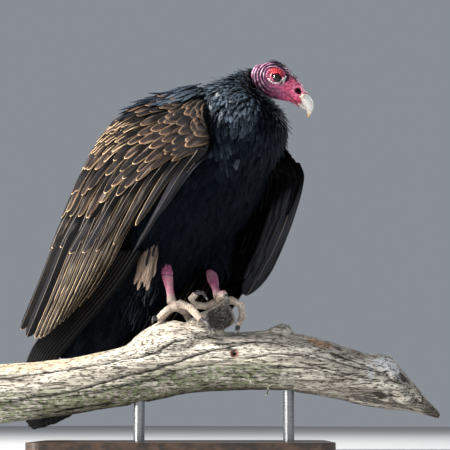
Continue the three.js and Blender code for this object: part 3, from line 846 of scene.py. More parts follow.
def makeHeadSkin(p):
    places, faces = remeshed(*solidArrays(["head"]), p["headVoxel"])
    edges = edgesOf(faces)
    x, y, z = inHead(places).T
    ex, eyeOut, ez = headPose["eye"]
    eye = np.hypot(x - ex, z - ez)
    nostril = np.hypot(x - headSkin["nostril"][0], z - headSkin["nostril"][1])
    nearEye = ramp(eye, 8.5, 6.5) * ramp(np.abs(y), 6, 12)
    hold = most(nearEye, 0.85 * ramp(nostril, 8, 6), 0.8 * ramp(x, 39, 42))
    smooth = smoothed(smoothed(places, edges, 60, 0.5, hold), edges, 4)
    places, normals = keptSize(places, smooth, faces, edges, 60)
    lift, colour = headForm(places, headSkin)
    socket = ramp(eye, 5.2, 4.4) * ramp(np.abs(y), 20, 17)  # behind the eyeball nothing changes
    places = places + normals * (lift * (1 - socket))[:, None] * mm

    # the lids close over the globe's rim and rest on it
    h = inHead(places)
    out = np.abs(h[:, 1])
    ex, ez = ex + headSkin["lidShift"][0], ez + headSkin["lidShift"][1]
    dx, dz = h[:, 0] - ex, h[:, 2] - ez
    away = np.maximum(np.hypot(dx, dz), 1e-6)
    opening = headSkin["lidRadius"] - 0.5 * ramp(-dz / away, -0.2, 0.9) - 0.5 * ramp(dz / away, 0.2, 1.0)
    outer = ramp(out, eyeOut + 2.5, eyeOut + 4.0) * ramp(away, 9.0, 7.2)
    shut = np.where(away < 9, opening + (away - 4.4) * (9 - opening) / 4.6, away)
    share = mix(1, shut / away, outer * (away > 4.4))
    h[:, 0], h[:, 2] = ex + dx * share, ez + dz * share
    away = away * share
    fromGlobe = np.hypot(h[:, 0] - headPose["eye"][0], h[:, 2] - headPose["eye"][2])
    globe = eyeOut + np.sqrt(np.maximum((headPose["eyeRadius"] * 1.03 + 0.35) ** 2 - fromGlobe**2, 0))
    over = np.maximum(out, globe + 0.55 * hill(away, opening + 0.7, 0.7))
    h[:, 1] = np.sign(h[:, 1]) * mix(out, over, outer * (away > 3.5) * ramp(away, 8.6, 7.0))
    return fromHead(foreheadSlope(h)), faces, colour


def foreheadSlope(h):
    # the ridge of the bill drops a little where it leaves the forehead
    drop = 2.0 * ramp(h[:, 0], 33, 42) * ramp(h[:, 0], 64, 44) * ramp(h[:, 2], -7, 0)
    return h - drop[:, None] * (0.25, 0, 1)


def makeLegSkin(name, p):
    places, faces = remeshed(*solidArrays([f"tarsus_{name}", f"foot_{name}"], 0.4 * mm), p["legVoxel"])
    places = smoothed(places, edgesOf(faces), 12)
    normals = vertexNormals(places, faces)
    lift, colour = legForm(places, name, legSkin)
    return places + normals * (lift - 0.15)[:, None] * mm, faces, colour


def makeBodySkin(p):
    body = ["neck", "trunk", "thigh_right", "thigh_left"]
    wings = ["wing_right_coverts", "wing_left_coverts"]
    places, faces = remeshed(*solidArrays(body + wings, p["grow"]), p["bodyVoxel"])
    edges = edgesOf(faces)
    wingTree, bodyTree = nodeTree(*wings), nodeTree(*body)
    near = np.array([wingTree.find_nearest(v)[3] - bodyTree.find_nearest(v)[3] for v in places.tolist()])
    depth = mix(p["wingDepth"], p["bodyDepth"], ramp(near, 0.0, 6 * mm))
    normals = vertexNormals(smoothed(places, edges, 6), faces)
    places = places - normals * (smoothed(depth[:, None], edges, 10) + p["grow"])
    return smoothed(places, edges, 10), faces


def makeSkin():
    body = makeBodySkin(skinSizes)
    parts = [(*body, np.tile(shade("101116"), (len(body[0]), 1))), makeHeadSkin(skinSizes)]
    parts += [makeLegSkin(name, skinSizes) for name in sides]
    places, faces, tint = joined(parts)
    mesh = meshFrom("skin", places, faces)
    setAttribute(mesh, "tint", tint)
    kinds = np.repeat(np.array((0, 1, 2, 2), np.int32), [len(part[1]) for part in parts])
    mesh.polygons.foreach_set("material_index", kinds)
    addPiece("skin", mesh, "head_skin", fleshNodes, downFinish(), skinFinish(), scaledSkinFinish())
    print("skin:", [len(part[1]) for part in parts], "quads for body, head and legs")
    return body


# bill, eyes and claws
def makeHorn(name, node, rounds, slot, material, grow, tint=None, shape=None):
    start, faces = remeshed(*solidArrays([node], grow), 0.4 * mm)
    edges = edgesOf(faces)
    places, _ = keptSize(start, smoothed(start, edges, rounds), faces, edges, 20)
    if shape is not None:
        places = shape(places)
    mesh = meshFrom(name, places, faces)
    if tint is not None:
        setAttribute(mesh, "tint", tint(places))
    addPiece(name, mesh, slot, [node], material)


billColours = {"ivory": "fffaf2", "root": "f0e2cc", "tip": "e9b95e", "edge": "c79a62"}


def billTint(places):
    x, _, z = inHead(places).T
    colour = np.tile(shade(billColours["root"]), (len(x), 1))
    colour = paint(colour, billColours["ivory"], ramp(x, 43, 50))
    colour = paint(colour, billColours["tip"], ramp(z, -13.5, -18.5) * 0.9)
    return paint(colour, billColours["edge"], 0.4 * hill(z, -12.6, 0.6))


def billShape(places):
    # the horn's rear edge slants back under the nostril and lies over the skin
    h = inHead(places)
    rear = ramp(h[:, 0], 52, 44)
    h[:, 0] -= 5.0 * rear * ramp(h[:, 2], -1, -9) * ramp(h[:, 2], -17, -12)
    h[:, 1] *= 1 + 0.16 * rear
    h[:, 2] -= 0.5 * rear * ramp(h[:, 2], -6, -10)
    return fromHead(foreheadSlope(h))


def makeHorns():
    ivory, horn = billFinish(), clawFinish()
    makeHorn("bill_top", "bill_upper", 14, "bill", ivory, 0.2 * mm, billTint, billShape)
    makeHorn("bill_bottom", "bill_lower", 14, "bill", ivory, 0.2 * mm, billTint)
    for name in sides:
        for toe in range(1, 5):
            makeHorn(f"talon_{name}_{toe}", f"claw_{name}_{toe}", 5, "claw", horn, 0.35 * mm)
    print("bill and claws made")


def globeArrays(rings, around):
    # a closed ball of radius 1 in triangles, its first pole on z
    polar = np.linspace(0, math.pi, rings + 1)[1:-1, None]
    turn = np.linspace(0, 2 * math.pi, around, endpoint=False)
    ball = stacked(np.sin(polar) * np.cos(turn), np.sin(polar) * np.sin(turn), np.cos(polar))
    places = np.concatenate([ball.reshape(-1, 3), [(0, 0, 1), (0, 0, -1)]])
    grid = np.arange((rings - 1) * around).reshape(rings - 1, around)
    after = np.roll(grid, -1, axis=1)
    quads = stacked(grid[:-1], grid[1:], after[1:], after[:-1]).reshape(-1, 4)
    top = stacked(grid.size, grid[0], after[0])
    bottom = stacked(grid.size + 1, after[-1], grid[-1])
    return places, np.concatenate([quads[:, [0, 1, 2]], quads[:, [0, 2, 3]], top, bottom])


bristleForm = {
    "count": 620, "rows": 3, "columns": 2, "camber": 0.0, "ridge": 0.0, "thickness": 0.16 * mm,
    "point": 0.9, "waist": 0.9,
}


def makeBristles(p):
    # short dark hairs on the crown, the lores and the cheeks
    random = np.random.default_rng(55)
    skin = bpy.data.meshes["skin"]
    places = readArray(skin.vertices, "co", 3).astype(float)
    normals = readArray(skin.vertices, "normal", 3).astype(float)
    x, y, z = inHead(places).T
    onHead = (np.abs(y) < 24) & (x > -24) & (x < 42) & (z > -22) & (z < 26)
    crown = ramp(z, 8, 13) * ramp(x, 30, 20)
    lores = hill(np.hypot(x - 15, z - 4), 0, 6) * 0.9
    share = np.where(onHead, most(crown, lores) + 0.05, 0) * (np.hypot(x - 2.8, z + 2.6) > 8.5)
    chosen = random.choice(len(places), p["count"], replace=False, p=share / share.sum())
    normals = normals[chosen]
    lengths = random.uniform(2.2, 4.2, len(chosen)) * mm
    back = fromHead(np.array([[-1.0, 0, -0.15]])) - fromHead(np.zeros((1, 3)))
    line = unit(normals * 0.75 + unit(back) + random.normal(0, 0.3, (len(chosen), 3)))
    roots = places[chosen] - normals * 0.3 * mm
    path = roots[:, None, :] + line[:, None, :] * (lengths[:, None] * vaneSteps(p["rows"]))[..., None]
    sideways = unit(np.cross(line, normals))[:, None, :] + np.zeros_like(path)
    outward = unit(np.cross(sideways, line[:, None, :]))
    tone = random.uniform(0, 0.5, len(chosen))
    batch = freeVanes(random, path, sideways, outward, lengths, tone, roots, (0.13 * mm, 0.24 * mm), 1, p)
    addVanes("head_bristles", [batch])


def makeNostrilShade():
    # a dark sheet across the middle of the open nostril, painted shade that hides what lies beyond it
    local, triangles = globeArrays(16, 24)
    x, z = headSkin["nostril"]
    places = fromHead(local * (6.0, 1.3, 5.0) + (x, 0, z - 0.8))
    mesh = meshFrom("nostril_shade", places, triangles)
    setAttribute(mesh, "tint", np.tile(shade("4a1426"), (len(places), 1)))
    addPiece("nostril_shade", mesh, "head_skin", [], bpy.data.materials["nakedSkin"])


def makeEye(name, side):
    # a globe with a clear bulge over the iris, turned a little forward
    middle = np.array(headPose["eye"]) * (1, side, 1)
    axis = unit(np.array([0.16, side * 1.0, 0.02]))
    across = unit(np.cross(axis, (0, 0, 1)))
    local, triangles = globeArrays(40, 48)
    polar = np.arccos(np.clip(local[:, 2], -1, 1))
    reach = headPose["eyeRadius"] + 1.35 * np.cos(np.minimum(polar / 0.56, 1) * math.pi / 2) ** 2
    places = (local * reach[:, None]) @ np.array([across, np.cross(across, axis), axis]) + middle
    world = fromHead(places)
    if (vertexNormals(world, triangles) * (world - fromHead(middle[None]))).sum() < 0:
        triangles = triangles[:, ::-1]
    mesh = meshFrom(f"eyeball_{name}", world, triangles)
    setAttribute(mesh, "ring", lengthOf(np.cross(places - middle, axis)))
    addPiece(f"eyeball_{name}", mesh, "eye", [f"eye_{name}"], eyeFinish())


# feathers: every one is a closed thin vane of two sheets that share their rim
def vaneFaces(rows, columns):
    upper = np.arange((rows + 1) * (columns + 1)).reshape(rows + 1, columns + 1)
    lower = upper.copy()
    inner = upper[1:-1, 1:-1]
    lower[1:-1, 1:-1] = upper.size + np.arange(inner.size).reshape(inner.shape)
    up, low = (
        stacked(grid[:-1, :-1], grid[1:, :-1], grid[1:, 1:], grid[:-1, 1:]).reshape(-1, 4)
        for grid in (upper, lower)
    )
    return np.concatenate([up[:, ::-1], low])


def vaneSteps(rows):
    # rows stand closer together towards the tip, which is the rounder end
    return np.sin(np.linspace(0, 1, rows + 1) * math.pi / 2) ** 1.15


def outline(steps, length, half, p):
    # half width of each feather at each step; point is 0.5 for a round tip and 1 for a sharp one
    s = steps[None, :]
    tipShare = np.minimum(0.75, half * 1.25 / length)[:, None] * (1 + np.maximum(0, p["point"] - 0.5) * 2)
    tipShare = np.minimum(tipShare, 0.9)
    x = np.clip((s - (1 - tipShare)) / tipShare, 0, 1)
    tip = np.maximum(1 - x * x, 0) ** p["point"]
    base = p["waist"] + (1 - p["waist"]) * ramp(s, 0, 0.45)
    return half[:, None] * base * np.maximum(tip, 0.07)


def acrossVane(half, p):
    # at each row: -1 to 1 across, metres from the shaft, and how high the web stands
    y = np.linspace(-1, 1, p["columns"] + 1)
    half = half[..., None]
    form = p["camber"] * (-(y**2)) * half + p["ridge"] * np.maximum(0, 1 - np.abs(y) * 3)
    return y, half * y, form


def newLook(random, count, tone, spot, cell=(0.003, 0.003)):
    # spot and cell are the feather's place and size on the baking map
    own = random.uniform(0, 1, count)
    return {"own": own, "tone": np.broadcast_to(tone, count).astype(float), "spot": spot, "cell": cell}


def freeVanes(random, path, sideways, outward, lengths, tone, roots, spread, half, p):
    # path, sideways and outward: places and directions from each feather's root to its tip; spread is
    # the least and the most of half to take
    count, rows = path.shape[0], path.shape[1] - 1
    look = newLook(random, count, tone, skinSpot(roots))
    half = outline(vaneSteps(rows), lengths, half * random.uniform(*spread, count), p)
    y, beside, form = acrossVane(half, p)
    if "ragged" in p:
        noise = random.uniform(-1, 1, (count, rows + 1, 1)) * (np.abs(y) > 0.99)
        beside = beside * (1 + p["ragged"] * noise)
    outward = outward[:, :, None, :]
    upper = path[:, :, None, :] + sideways[:, :, None, :] * beside[..., None] + outward * form[..., None]
    return finishVanes(upper, outward, beside, half, lengths, look, p)


def finishVanes(upper, outward, beside, half, length, look, p):
    # returns places, faces, the vane and look attributes, and the baking map's places
    count, rows, columns = upper.shape[0], upper.shape[1] - 1, upper.shape[2] - 1
    lower = (upper - outward * p["thickness"])[:, 1:-1, 1:-1]
    places = np.concatenate([upper.reshape(count, -1, 3), lower.reshape(count, -1, 3)], 1)
    faces = vaneFaces(rows, columns)
    # the upper sheet has to face outwards
    corners = places[0][faces[len(faces) // 4]]
    facing = np.cross(corners[2] - corners[0], corners[3] - corners[1])
    if (facing * np.broadcast_to(outward, upper.shape)[0, rows // 2, columns // 2]).sum() < 0:
        faces = faces[:, ::-1]
    faces = faces[None] + (np.arange(count) * places.shape[1])[:, None, None]
    share = vaneSteps(rows)[None, :, None]
    length = length[:, None, None]
    y = np.linspace(-1, 1, columns + 1)
    rim = np.minimum((1 - np.abs(y)) * half[..., None], (1 - share) * length)

    def both(*values):
        # columns for the upper sheet's places and then the lower one's
        grid = stacked(beside, *values)[..., 1:]
        sheets = [sheet.reshape(count, -1, len(values)) for sheet in (grid, grid[:, 1:-1, 1:-1])]
        return np.concatenate(sheets, 1)

    vane = both(share * length / mm, beside / mm, rim / mm)
    looks = both(share, look["own"][:, None, None], look["tone"][:, None, None])
    if p.get("under") is not None:
        looks[:, beside[0].size :, 2] = p["under"]
    patch = both(y * 0.5 + 0.5, share) * look["cell"] + look["spot"][:, None, :]
    return [part.reshape(-1, part.shape[-1]) for part in (places, faces, vane, looks, patch)]


def addVanes(name, batches, finish="contourFeather", slot="plumage", replaced=()):
    places, faces, vane, looks, patch = joined(batches)
    mesh = meshFrom(name, places, faces)
    setAttribute(mesh, "vane", vane)
    setAttribute(mesh, "look", looks)
    corners = readArray(mesh.loops, "vertex_index", 1, np.int32).ravel()
    layer = mesh.uv_layers.new(name="OFBake")
    layer.data.foreach_set("uv", np.ascontiguousarray(patch[corners], np.float32).ravel())
    addPiece(name, mesh, slot, replaced, bpy.data.materials[finish])
    print(f"{name}: {2 * len(faces)} triangles")


# the wings' surface, in millimetres in the bird's frame: rows of four points from the middle of
# the back to the leading edge, one row after another from the shoulder to the wing's end
wingForm = {
    "rows": [
        [(-14, -9, 472), (12, -50, 466), (76, -84, 436), (94, -88, 410)],
        [(-82, -9, 450), (-64, -60, 446), (42, -110, 390), (101, -99, 370)],
        [(-147, -9, 398), (-132, -64, 390), (-8, -120, 336), (80, -107, 342)],
        [(-197, -11, 320), (-184, -66, 310), (-62, -116, 270), (36, -107, 297)],
        [(-240, -20, 243), (-223, -68, 233), (-124, -104, 209), (-24, -98, 247)],
        [(-284, -34, 168), (-273, -62, 162), (-194, -86, 150), (-100, -84, 206)],
    ],
    "leftDrop": math.radians(19.3),  # the left wing hangs lower than the right
    "leftShift": (-18, -10, -10),
    "pivot": (80, 430),
}


def swung(point, share):
    p = wingForm
    dx, dz = point[0] - p["pivot"][0], point[2] - p["pivot"][1]
    c, s = math.cos(p["leftDrop"] * share), math.sin(p["leftDrop"] * share)
    shift = np.array(p["leftShift"]) * share
    return np.array([p["pivot"][0] + dx * c - dz * s, -point[1], p["pivot"][1] + dz * c + dx * s]) + shift


def wingSurface(side):
    rows = [np.array(row, float) for row in wingForm["rows"]]
    if side > 0:
        rows = [np.array([swung(q, k / 3) for k, q in enumerate(row)]) for row in rows]

    def surface(u, v):
        u, v = np.asarray(u, float), np.asarray(v, float)
        across = np.stack([spline(row, u.ravel()) for row in rows])
        return (spline(across, v.ravel()).reshape(*u.shape, 3) + limbShift) * mm

    return surface


def surfaceFrame(surface, u, v, side):
    step = 2e-3
    across = surface(u + step, v) - surface(u - step, v)
    down = surface(u, v + step) - surface(u, v - step)
    return across / (2 * step), down / (2 * step), unit(np.cross(across, down)) * side


def vanesOn(surface, side, root, tip, half, heights, look, p):
    # feathers laid on a surface from root (u, v) to tip (u, v); heights is how far the root, the
    # middle and the tip stand out from it
    count, steps = len(root), vaneSteps(p["rows"])
    s = steps[None, :]
    u = root[:, :1] + (tip - root)[:, :1] * steps
    v = root[:, 1:] + (tip - root)[:, 1:] * steps
    length = lengthOf(np.diff(surface(u, v), axis=1)).sum(1)
    half = outline(steps, length, np.broadcast_to(half, count), p)
    y, beside, form = acrossVane(half, p)
    # ragged, slightly wavy rims
    spots = stacked(s[..., None] * length[:, None, None] / mm, y * 40, look["own"][:, None, None] * 900)
    ripple = roughNoise(spots.reshape(-1, 3), p["waveSize"], 2, 4).reshape(beside.shape)
    beside = beside * (1 + p["wave"] * ripple * (np.abs(y) > 0.9))
    across, down, normal = surfaceFrame(surface, u, v, side)
    # sideways is square to the feather's own line, in the surface
    line = across * np.gradient(u, axis=1)[..., None] + down * np.gradient(v, axis=1)[..., None]
    sideways = unit(np.cross(normal, line)) * -side
    duPer = (sideways * across).sum(2) / (across**2).sum(2)
    dvPer = (sideways * down).sum(2) / (down**2).sum(2)
    u = u[..., None] + beside * duPer[..., None]
    v = v[..., None] + beside * dvPer[..., None]
    out = surfaceFrame(surface, u, v, side)[2]
    low, mid, high = (np.broadcast_to(h, count)[:, None] for h in heights)
    height = low * (1 - s) * (1 - 2 * s) + mid * 4 * s * (1 - s) + high * s * (2 * s - 1)
    # the outer web may lie lower than the inner one
    form = form - p.get("fold", 0.0) * y * half[..., None]
    upper = surface(u, v) + out * (height[..., None] + form)[..., None]
    return finishVanes(upper, out, beside, half, length, look, p)


# coverts lie in tiers; each tier gives where its tips end as a share of the way to the last one,
# which part of the wing it crosses, how many feathers it has, and what these are like
covertForm = {
    # where the last small coverts end and where the great coverts end, as u and v on the wing
    "line": [(0, 0.64), (0.3, 0.585), (0.55, 0.54), (0.7, 0.44), (0.85, 0.34), (1, 0.26)],
    "greatLine": [(0, 0.74), (0.3, 0.70), (0.575, 0.66), (0.7, 0.63), (0.8, 0.63), (0.875, 0.62), (1, 0.5)],
    "tiers": [
        # share of the line, u from and to, count, length, half width, tip height, rim
        (1.00, 0, 1, 19, 0.25, 10.6, 1.8, 1.0),
        (0.875, 0, 1, 18, 0.22, 10.6, 2.6, 1.0),
        (0.76, 0, 1, 17, 0.19, 10.4, 3.1, 0.95),
        (0.645, 0, 1, 17, 0.165, 10.2, 3.4, 0.85),
        (0.66, 0.18, 0.52, 11, 0.10, 5.2, 4.3, 0.8),
        (0.60, 0.2, 0.54, 11, 0.095, 5.0, 4.7, 0.85),
        (0.54, 0, 1, 16, 0.145, 10.0, 3.6, 0.55),
        (0.545, 0.2, 0.54, 11, 0.09, 5.0, 5.0, 0.8),
        (0.49, 0.22, 0.52, 10, 0.085, 4.8, 5.1, 0.7),
        (0.44, 0, 1, 16, 0.13, 9.8, 3.8, 0.36),
        (0.35, 0, 1, 15, 0.115, 9.4, 3.9, 0.26),
        (0.265, 0, 1, 15, 0.10, 9.0, 4.0, 0.22),
        (0.185, 0, 1, 14, 0.09, 8.6, 4.0, 0.2),
        (0.11, 0, 1, 13, 0.08, 8.2, 4.0, 0.18),
    ],
    "greatCount": 9, "greatHalf": 15 * mm,
    "rows": 12, "columns": 6, "camber": 0.2, "ridge": 0.25 * mm, "thickness": 0.4 * mm, "point": 0.56,
    "waist": 0.72, "wave": 0.08, "waveSize": 5.0, "under": -1,
}


def makeCoverts(name, side, p):
    random = np.random.default_rng(70 + side)
    surface = wingSurface(side)
    tops = np.array(p["line"]).T
    batches = []
    for tier, (end, start, stop, count, length, half, lift, rim) in enumerate(p["tiers"]):
        u = mix(start, stop, (np.arange(count) + 0.5 + random.uniform(-0.22, 0.22, count)) / count)
        size = random.uniform(0.88, 1.14, count)
        tipV = np.interp(u, *tops) * end + random.normal(0, 0.012, count)
        # near the leading edge the small coverts slant towards the back
        slant = length * size * 0.85 * ramp(u, 0.3, 0.8) * ramp(tipV, 0.45, 0.2)
        drift = random.normal(0, 0.014, count) - 0.02 - 0.55 * slant
        root = stacked(np.minimum(u + 0.45 * slant, 1.0), tipV - length * size * mix(1.0, 0.8, u))
        top = (lift + random.uniform(-0.4, 1.3, count)) * mm
        tone = rim * random.uniform(0.55, 1.1, count)
        tone = tone * ramp(u, 0.0, 0.12) * mix(1, 0.3, ramp(u, 0.62, 0.9))
        spot = stacked((np.arange(count) % 20) * 0.05, tier * 0.066)
        look = newLook(random, count, tone, spot, (0.045, 0.06))
        half = half * mm * size * mix(0.92, 1.04, u)
        heights = [-2.5 * mm, 0.7 * top, top]
        batches.append(vanesOn(surface, side, root, stacked(u + drift, tipV), half, heights, look, p))
    addVanes(f"coverts_{name}", batches, "covert", "wing_coverts", [f"wing_{name}_coverts"])

    count = p["greatCount"]
    u = 0.76 * (np.arange(count) + 0.5 + random.uniform(-0.12, 0.12, count)) / count
    tipV = np.interp(u, *np.array(p["greatLine"]).T) + random.normal(0, 0.008, count)
    root = stacked(u + 0.02, tipV - 2.2 * (tipV - np.interp(u, *tops)))
    depth = mix(1.6, 0.2, u) * mm
    heights = [-2.5 * mm, depth, depth + 0.9 * mm]
    tone = 0.85 * random.uniform(0.7, 1.1, count)
    look = newLook(random, count, tone, stacked(np.arange(count) * 0.06, 0), (0.055, 0.45))
    form = dict(p, rows=18, point=0.52)
    batch = vanesOn(surface, side, root, stacked(u - 0.02, tipV), p["greatHalf"], heights, look, form)
    addVanes(f"great_coverts_{name}", [batch], "greatCovert", "wing_coverts")


# the secondaries, then the tertials over them and the blade beside the leading edge
flightForm = {
    "rows": 26, "columns": 8, "camber": 0.1, "ridge": 0.6 * mm, "thickness": 0.5 * mm, "point": 0.6,
    "waist": 0.8, "wave": 0.10, "waveSize": 9.0, "under": -1,
}
flightTitles = {"flight": "secondaries", "brownFlight": "tertials", "slateFlight": "blade"}
innerRow = (
    4, ((0.08, 0.46), (0.24, 0.42)), ((0.02, 0.86), (0.2, 0.96)), (15, 17), (2.4, 1.0), (0.6, 0.8),
    {"finish": "brownFlight"},
)
# rows of long feathers: how many, root and tip of the first and the last as u and v on the wing,
# half widths, heights over the wing, rim tones, and what else differs from flightForm
flightRows = {
    "right": [
        (11, ((0.50, 0.42), (0.76, 0.36)), ((0.585, 0.99), (0.905, 0.955)), (8.4, 8.0), (0.2, -1.6), (1, 1),
         {"wave": 0.26, "waveSize": 12.0, "ridge": 1.2 * mm, "fold": 0.12}),
        (3, ((0.27, 0.42), (0.45, 0.40)), ((0.25, 0.965), (0.50, 1.0)), (20, 23), (0.6, 1.4), (0.9, 2.0),
         {"wave": 0.05, "waveSize": 14.0, "point": 0.5, "finish": "brownFlight"}),
        innerRow,
        (2, ((1.0, 0.14), (0.95, 0.16)), ((1.01, 0.62), (1.0, 0.785)), (9, 17), (0.4, 3.0), (0.05, 0.1),
         {"point": 0.78, "wave": 0.02, "finish": "slateFlight", "ridge": 0.9 * mm}),
        (2, ((0.89, 0.22), (0.80, 0.24)), ((0.89, 0.60), (0.80, 0.64)), (15, 15), (2.2, 1.6), (1.0, 1.0),
         {"wave": 0.03, "point": 0.5}),
    ],
    "left": [
        (12, ((0.30, 0.42), (0.86, 0.30)), ((0.16, 0.98), (0.87, 0.92)), (20, 17), (0.2, -1.6), (1.0, 0.4),
         {}),
        (5, ((0.99, 0.18), (0.74, 0.22)), ((0.93, 0.70), (0.76, 0.86)), (15, 17), (-1.6, -2.2), (0.2, 0.2),
         {}),
        innerRow,
        (3, ((0.985, 0.14), (0.90, 0.16)), ((0.99, 0.68), (0.935, 0.775)), (12, 21), (-0.6, 1.2), (0.3, 0.9),
         {"point": 0.6, "wave": 0.02, "finish": "slateFlight", "fold": 0.7, "under": None}),
    ],
}


def makeSecondaries(name, side, p):
    random = np.random.default_rng(90 + side)
    pieces = {}
    for line, (count, roots, tips, half, height, tones, changes) in enumerate(flightRows[name]):
        k = np.arange(count) / (count - 1)
        root, tip = (mix(*np.array(ends), k[:, None]) for ends in (roots, tips))
        tip = tip + random.normal(0, 0.006, (count, 2))
        depth = mix(*height, k) * mm
        # a tone over 1.5 is for the last feather only
        tone = mix(*tones, k) if max(tones) < 1.5 else np.where(k == 1, tones[1], tones[0])
        look = newLook(random, count, tone, stacked(np.arange(count) * 0.085, line * 0.2), (0.07, 0.19))
        form = dict(p, **changes)
        form["fold"] = -side * form.get("fold", 0.0)
        heights = [depth - 4 * mm, depth, depth + 0.6 * mm]
        batch = vanesOn(wingSurface(side), side, root, tip, mix(*half, k) * mm, heights, look, form)
        pieces.setdefault(form.get("finish", "flight"), []).append(batch)
    for finish, batches in pieces.items():
        replaced = [f"wing_{name}_secondaries"] if finish == "flight" else []
        addVanes(f"{flightTitles[finish]}_{name}", batches, finish, "flight_feathers", replaced)


# coverts on the side of each wing that faces the body, out to its leading edge
linerForm = {
    "tips": np.linspace(0.52, 0.12, 7), "count": 16, "length": 0.17, "standOff": (-2, 0.6, 1.8),
    "rows": 10, "columns": 4, "camber": 0.15, "ridge": 0.3 * mm, "thickness": 0.4 * mm, "point": 0.8,
    "waist": 0.75, "wave": 0.08, "waveSize": 6.0,
}


def armDepth(u, v):
    # how thick the wing is behind its outer surface, in millimetres
    arm = np.clip(1 - v / (0.54 - 0.3 * u), 0, 1)
    return 3 + 20 * np.sqrt(np.maximum(1 - 0.96 * u**8, 0)) * np.sin(np.minimum(1, arm * 1.4) * 1.57)


def makeLiners(name, side, p):
    random = np.random.default_rng(170 + side)
    count = p["count"]
    batches = []
    for row, tipV in enumerate(p["tips"]):
        u = mix(0.42, 1.015, (np.arange(count) + random.uniform(0.2, 0.8, count)) / count)
        end = tipV + random.normal(0, 0.012, count)
        tip = stacked(u + random.normal(0, 0.012, count), end)
        depths = [armDepth(u, end - p["length"] * share) for share in (1, 0.5, 0)]
        heights = [(depth + more) * mm for depth, more in zip(depths, p["standOff"])]
        look = newLook(random, count, 0.15, stacked(np.arange(count) * 0.06, row * 0.1), (0.05, 0.09))
        half = mix(9.0, 6.5, row / 6) * random.uniform(0.85, 1.15, count) * mm
        root = stacked(u, end - p["length"])
        batches.append(vanesOn(wingSurface(side), -side, root, tip, half, heights, look, p))
    addVanes(f"liners_{name}", batches, "darkFlight", "wing_coverts")


primaryForm = {
    # the outermost and the innermost edge, from the wing to its end
    "front": [(0, -90, 258), (-50, -84, 215), (-118, -74, 172), (-192, -62, 128), (-254, -48, 84),
              (-282, -40, 50)],
    "rear": [(-60, -97, 262), (-126, -80, 222), (-200, -56, 184), (-266, -38, 146), (-298, -28, 100),
             (-300, -28, 56)],
    "count": 10, "half": 10.5 * mm,
    "rows": 22, "columns": 6, "camber": 0.1, "ridge": 0.7 * mm, "thickness": 0.5 * mm, "point": 0.7,
    "waist": 0.85, "wave": 0.04, "waveSize": 9.0,
}


def primarySurface(side, p):
    edges = [np.array(p[key], float) for key in ("rear", "front")]
    if side > 0:
        shares = 0.7 * (1 - np.linspace(0, 1, len(p["rear"])))
        edges = [np.array([swung(q, share) for q, share in zip(edge, shares)]) for edge in edges]
    out = unit(np.array([-0.2, side, 0.25]))

    def surface(u, v):
        shape = np.shape(u)
        u, v = np.ravel(u)[:, None], np.ravel(v)
        crown = 6 * (1 - (2 * u - 1) ** 2) * (1 - v[:, None])
        made = mix(spline(edges[0], v), spline(edges[1], v), u) + crown * out
        return (made.reshape(*shape, 3) + limbShift) * mm

    return surface


def makePrimaries(name, side, p):
    random = np.random.default_rng(110 + side)
    count = p["count"]
    k = np.arange(count) / (count - 1)
    tipV = mix(0.90, 0.985, np.sin(k * math.pi * 0.75)) - 0.26 * ramp(k, 0.5, 1.0)
    root, tip = stacked(mix(0.15, 0.85, k), 0.02), stacked(mix(0.06, 0.94, k), tipV)
    depth = mix(1.6, -1.6, k) * mm
    tone = random.uniform(0.2, 0.9, count)
    look = newLook(random, count, tone, stacked(np.arange(count) * 0.1, 0), (0.09, 0.9))
    batch = vanesOn(primarySurface(side, p), side, root, tip, p["half"], [depth, depth, depth], look, p)
    addVanes(f"primaries_{name}", [batch], "darkFlight", "flight_feathers", [f"wing_{name}_primaries"])


tailForm = {
    "root": (-118, 0, 232), "tip": (-297, 0, 24), "halfWidth": (24, 44), "arch": 10,
    "count": 12, "half": 12 * mm,
    "rows": 22, "columns": 6, "camber": 0.08, "ridge": 0.5 * mm, "thickness": 0.6 * mm, "point": 0.55,
    "waist": 0.85, "wave": 0.05, "waveSize": 9.0,
}


def tailSurface(u, v):
    p = tailForm
    root, line = np.array(p["root"], float), np.subtract(p["tip"], p["root"]).astype(float)
    up = unit(np.cross((0, 1, 0), line))
    x = 2 * u - 1
    aside = x * mix(*p["halfWidth"], np.clip(v, 0, 1) ** 0.8)
    arch = p["arch"] * (1 - x * x) * (1 - 0.4 * v)
    return (root + line * v[..., None] + up * arch[..., None] + stacked(0, aside, 0) + limbShift) * mm


def makeTail(p):
    random = np.random.default_rng(130)
    count = p["count"]
    u = (np.arange(count) + 0.5) / count
    tip = stacked(mix(0.06, 0.94, u), 0.985 - 0.10 * (2 * u - 1) ** 2 + random.normal(0, 0.006, count))
    depth = -np.abs(2 * u - 1) * 2.5 * mm + 1.0 * mm
    look = newLook(random, count, 0.9, stacked(np.arange(count) * 0.08, 0), (0.07, 0.9))
    root = stacked(mix(0.3, 0.7, u), 0.02)
    batch = vanesOn(tailSurface, 1, root, tip, p["half"], [depth, depth, depth], look, p)
    addVanes("tail_feathers", [batch], "darkFlight", "flight_feathers", ["tail"])


# the mantle: narrow loose feathers over the wings' upper ends and the middle of the back
mantleForm = {
    "tips": np.linspace(0.47, 0.035, 16), "pointedCount": 26, "pointedHalf": 5.0 * mm,
    "rows": 8, "columns": 4, "camber": 0.25, "ridge": 0.25 * mm, "thickness": 0.35 * mm, "point": 0.85,
    "waist": 0.75, "wave": 0.1, "waveSize": 4.0,
}


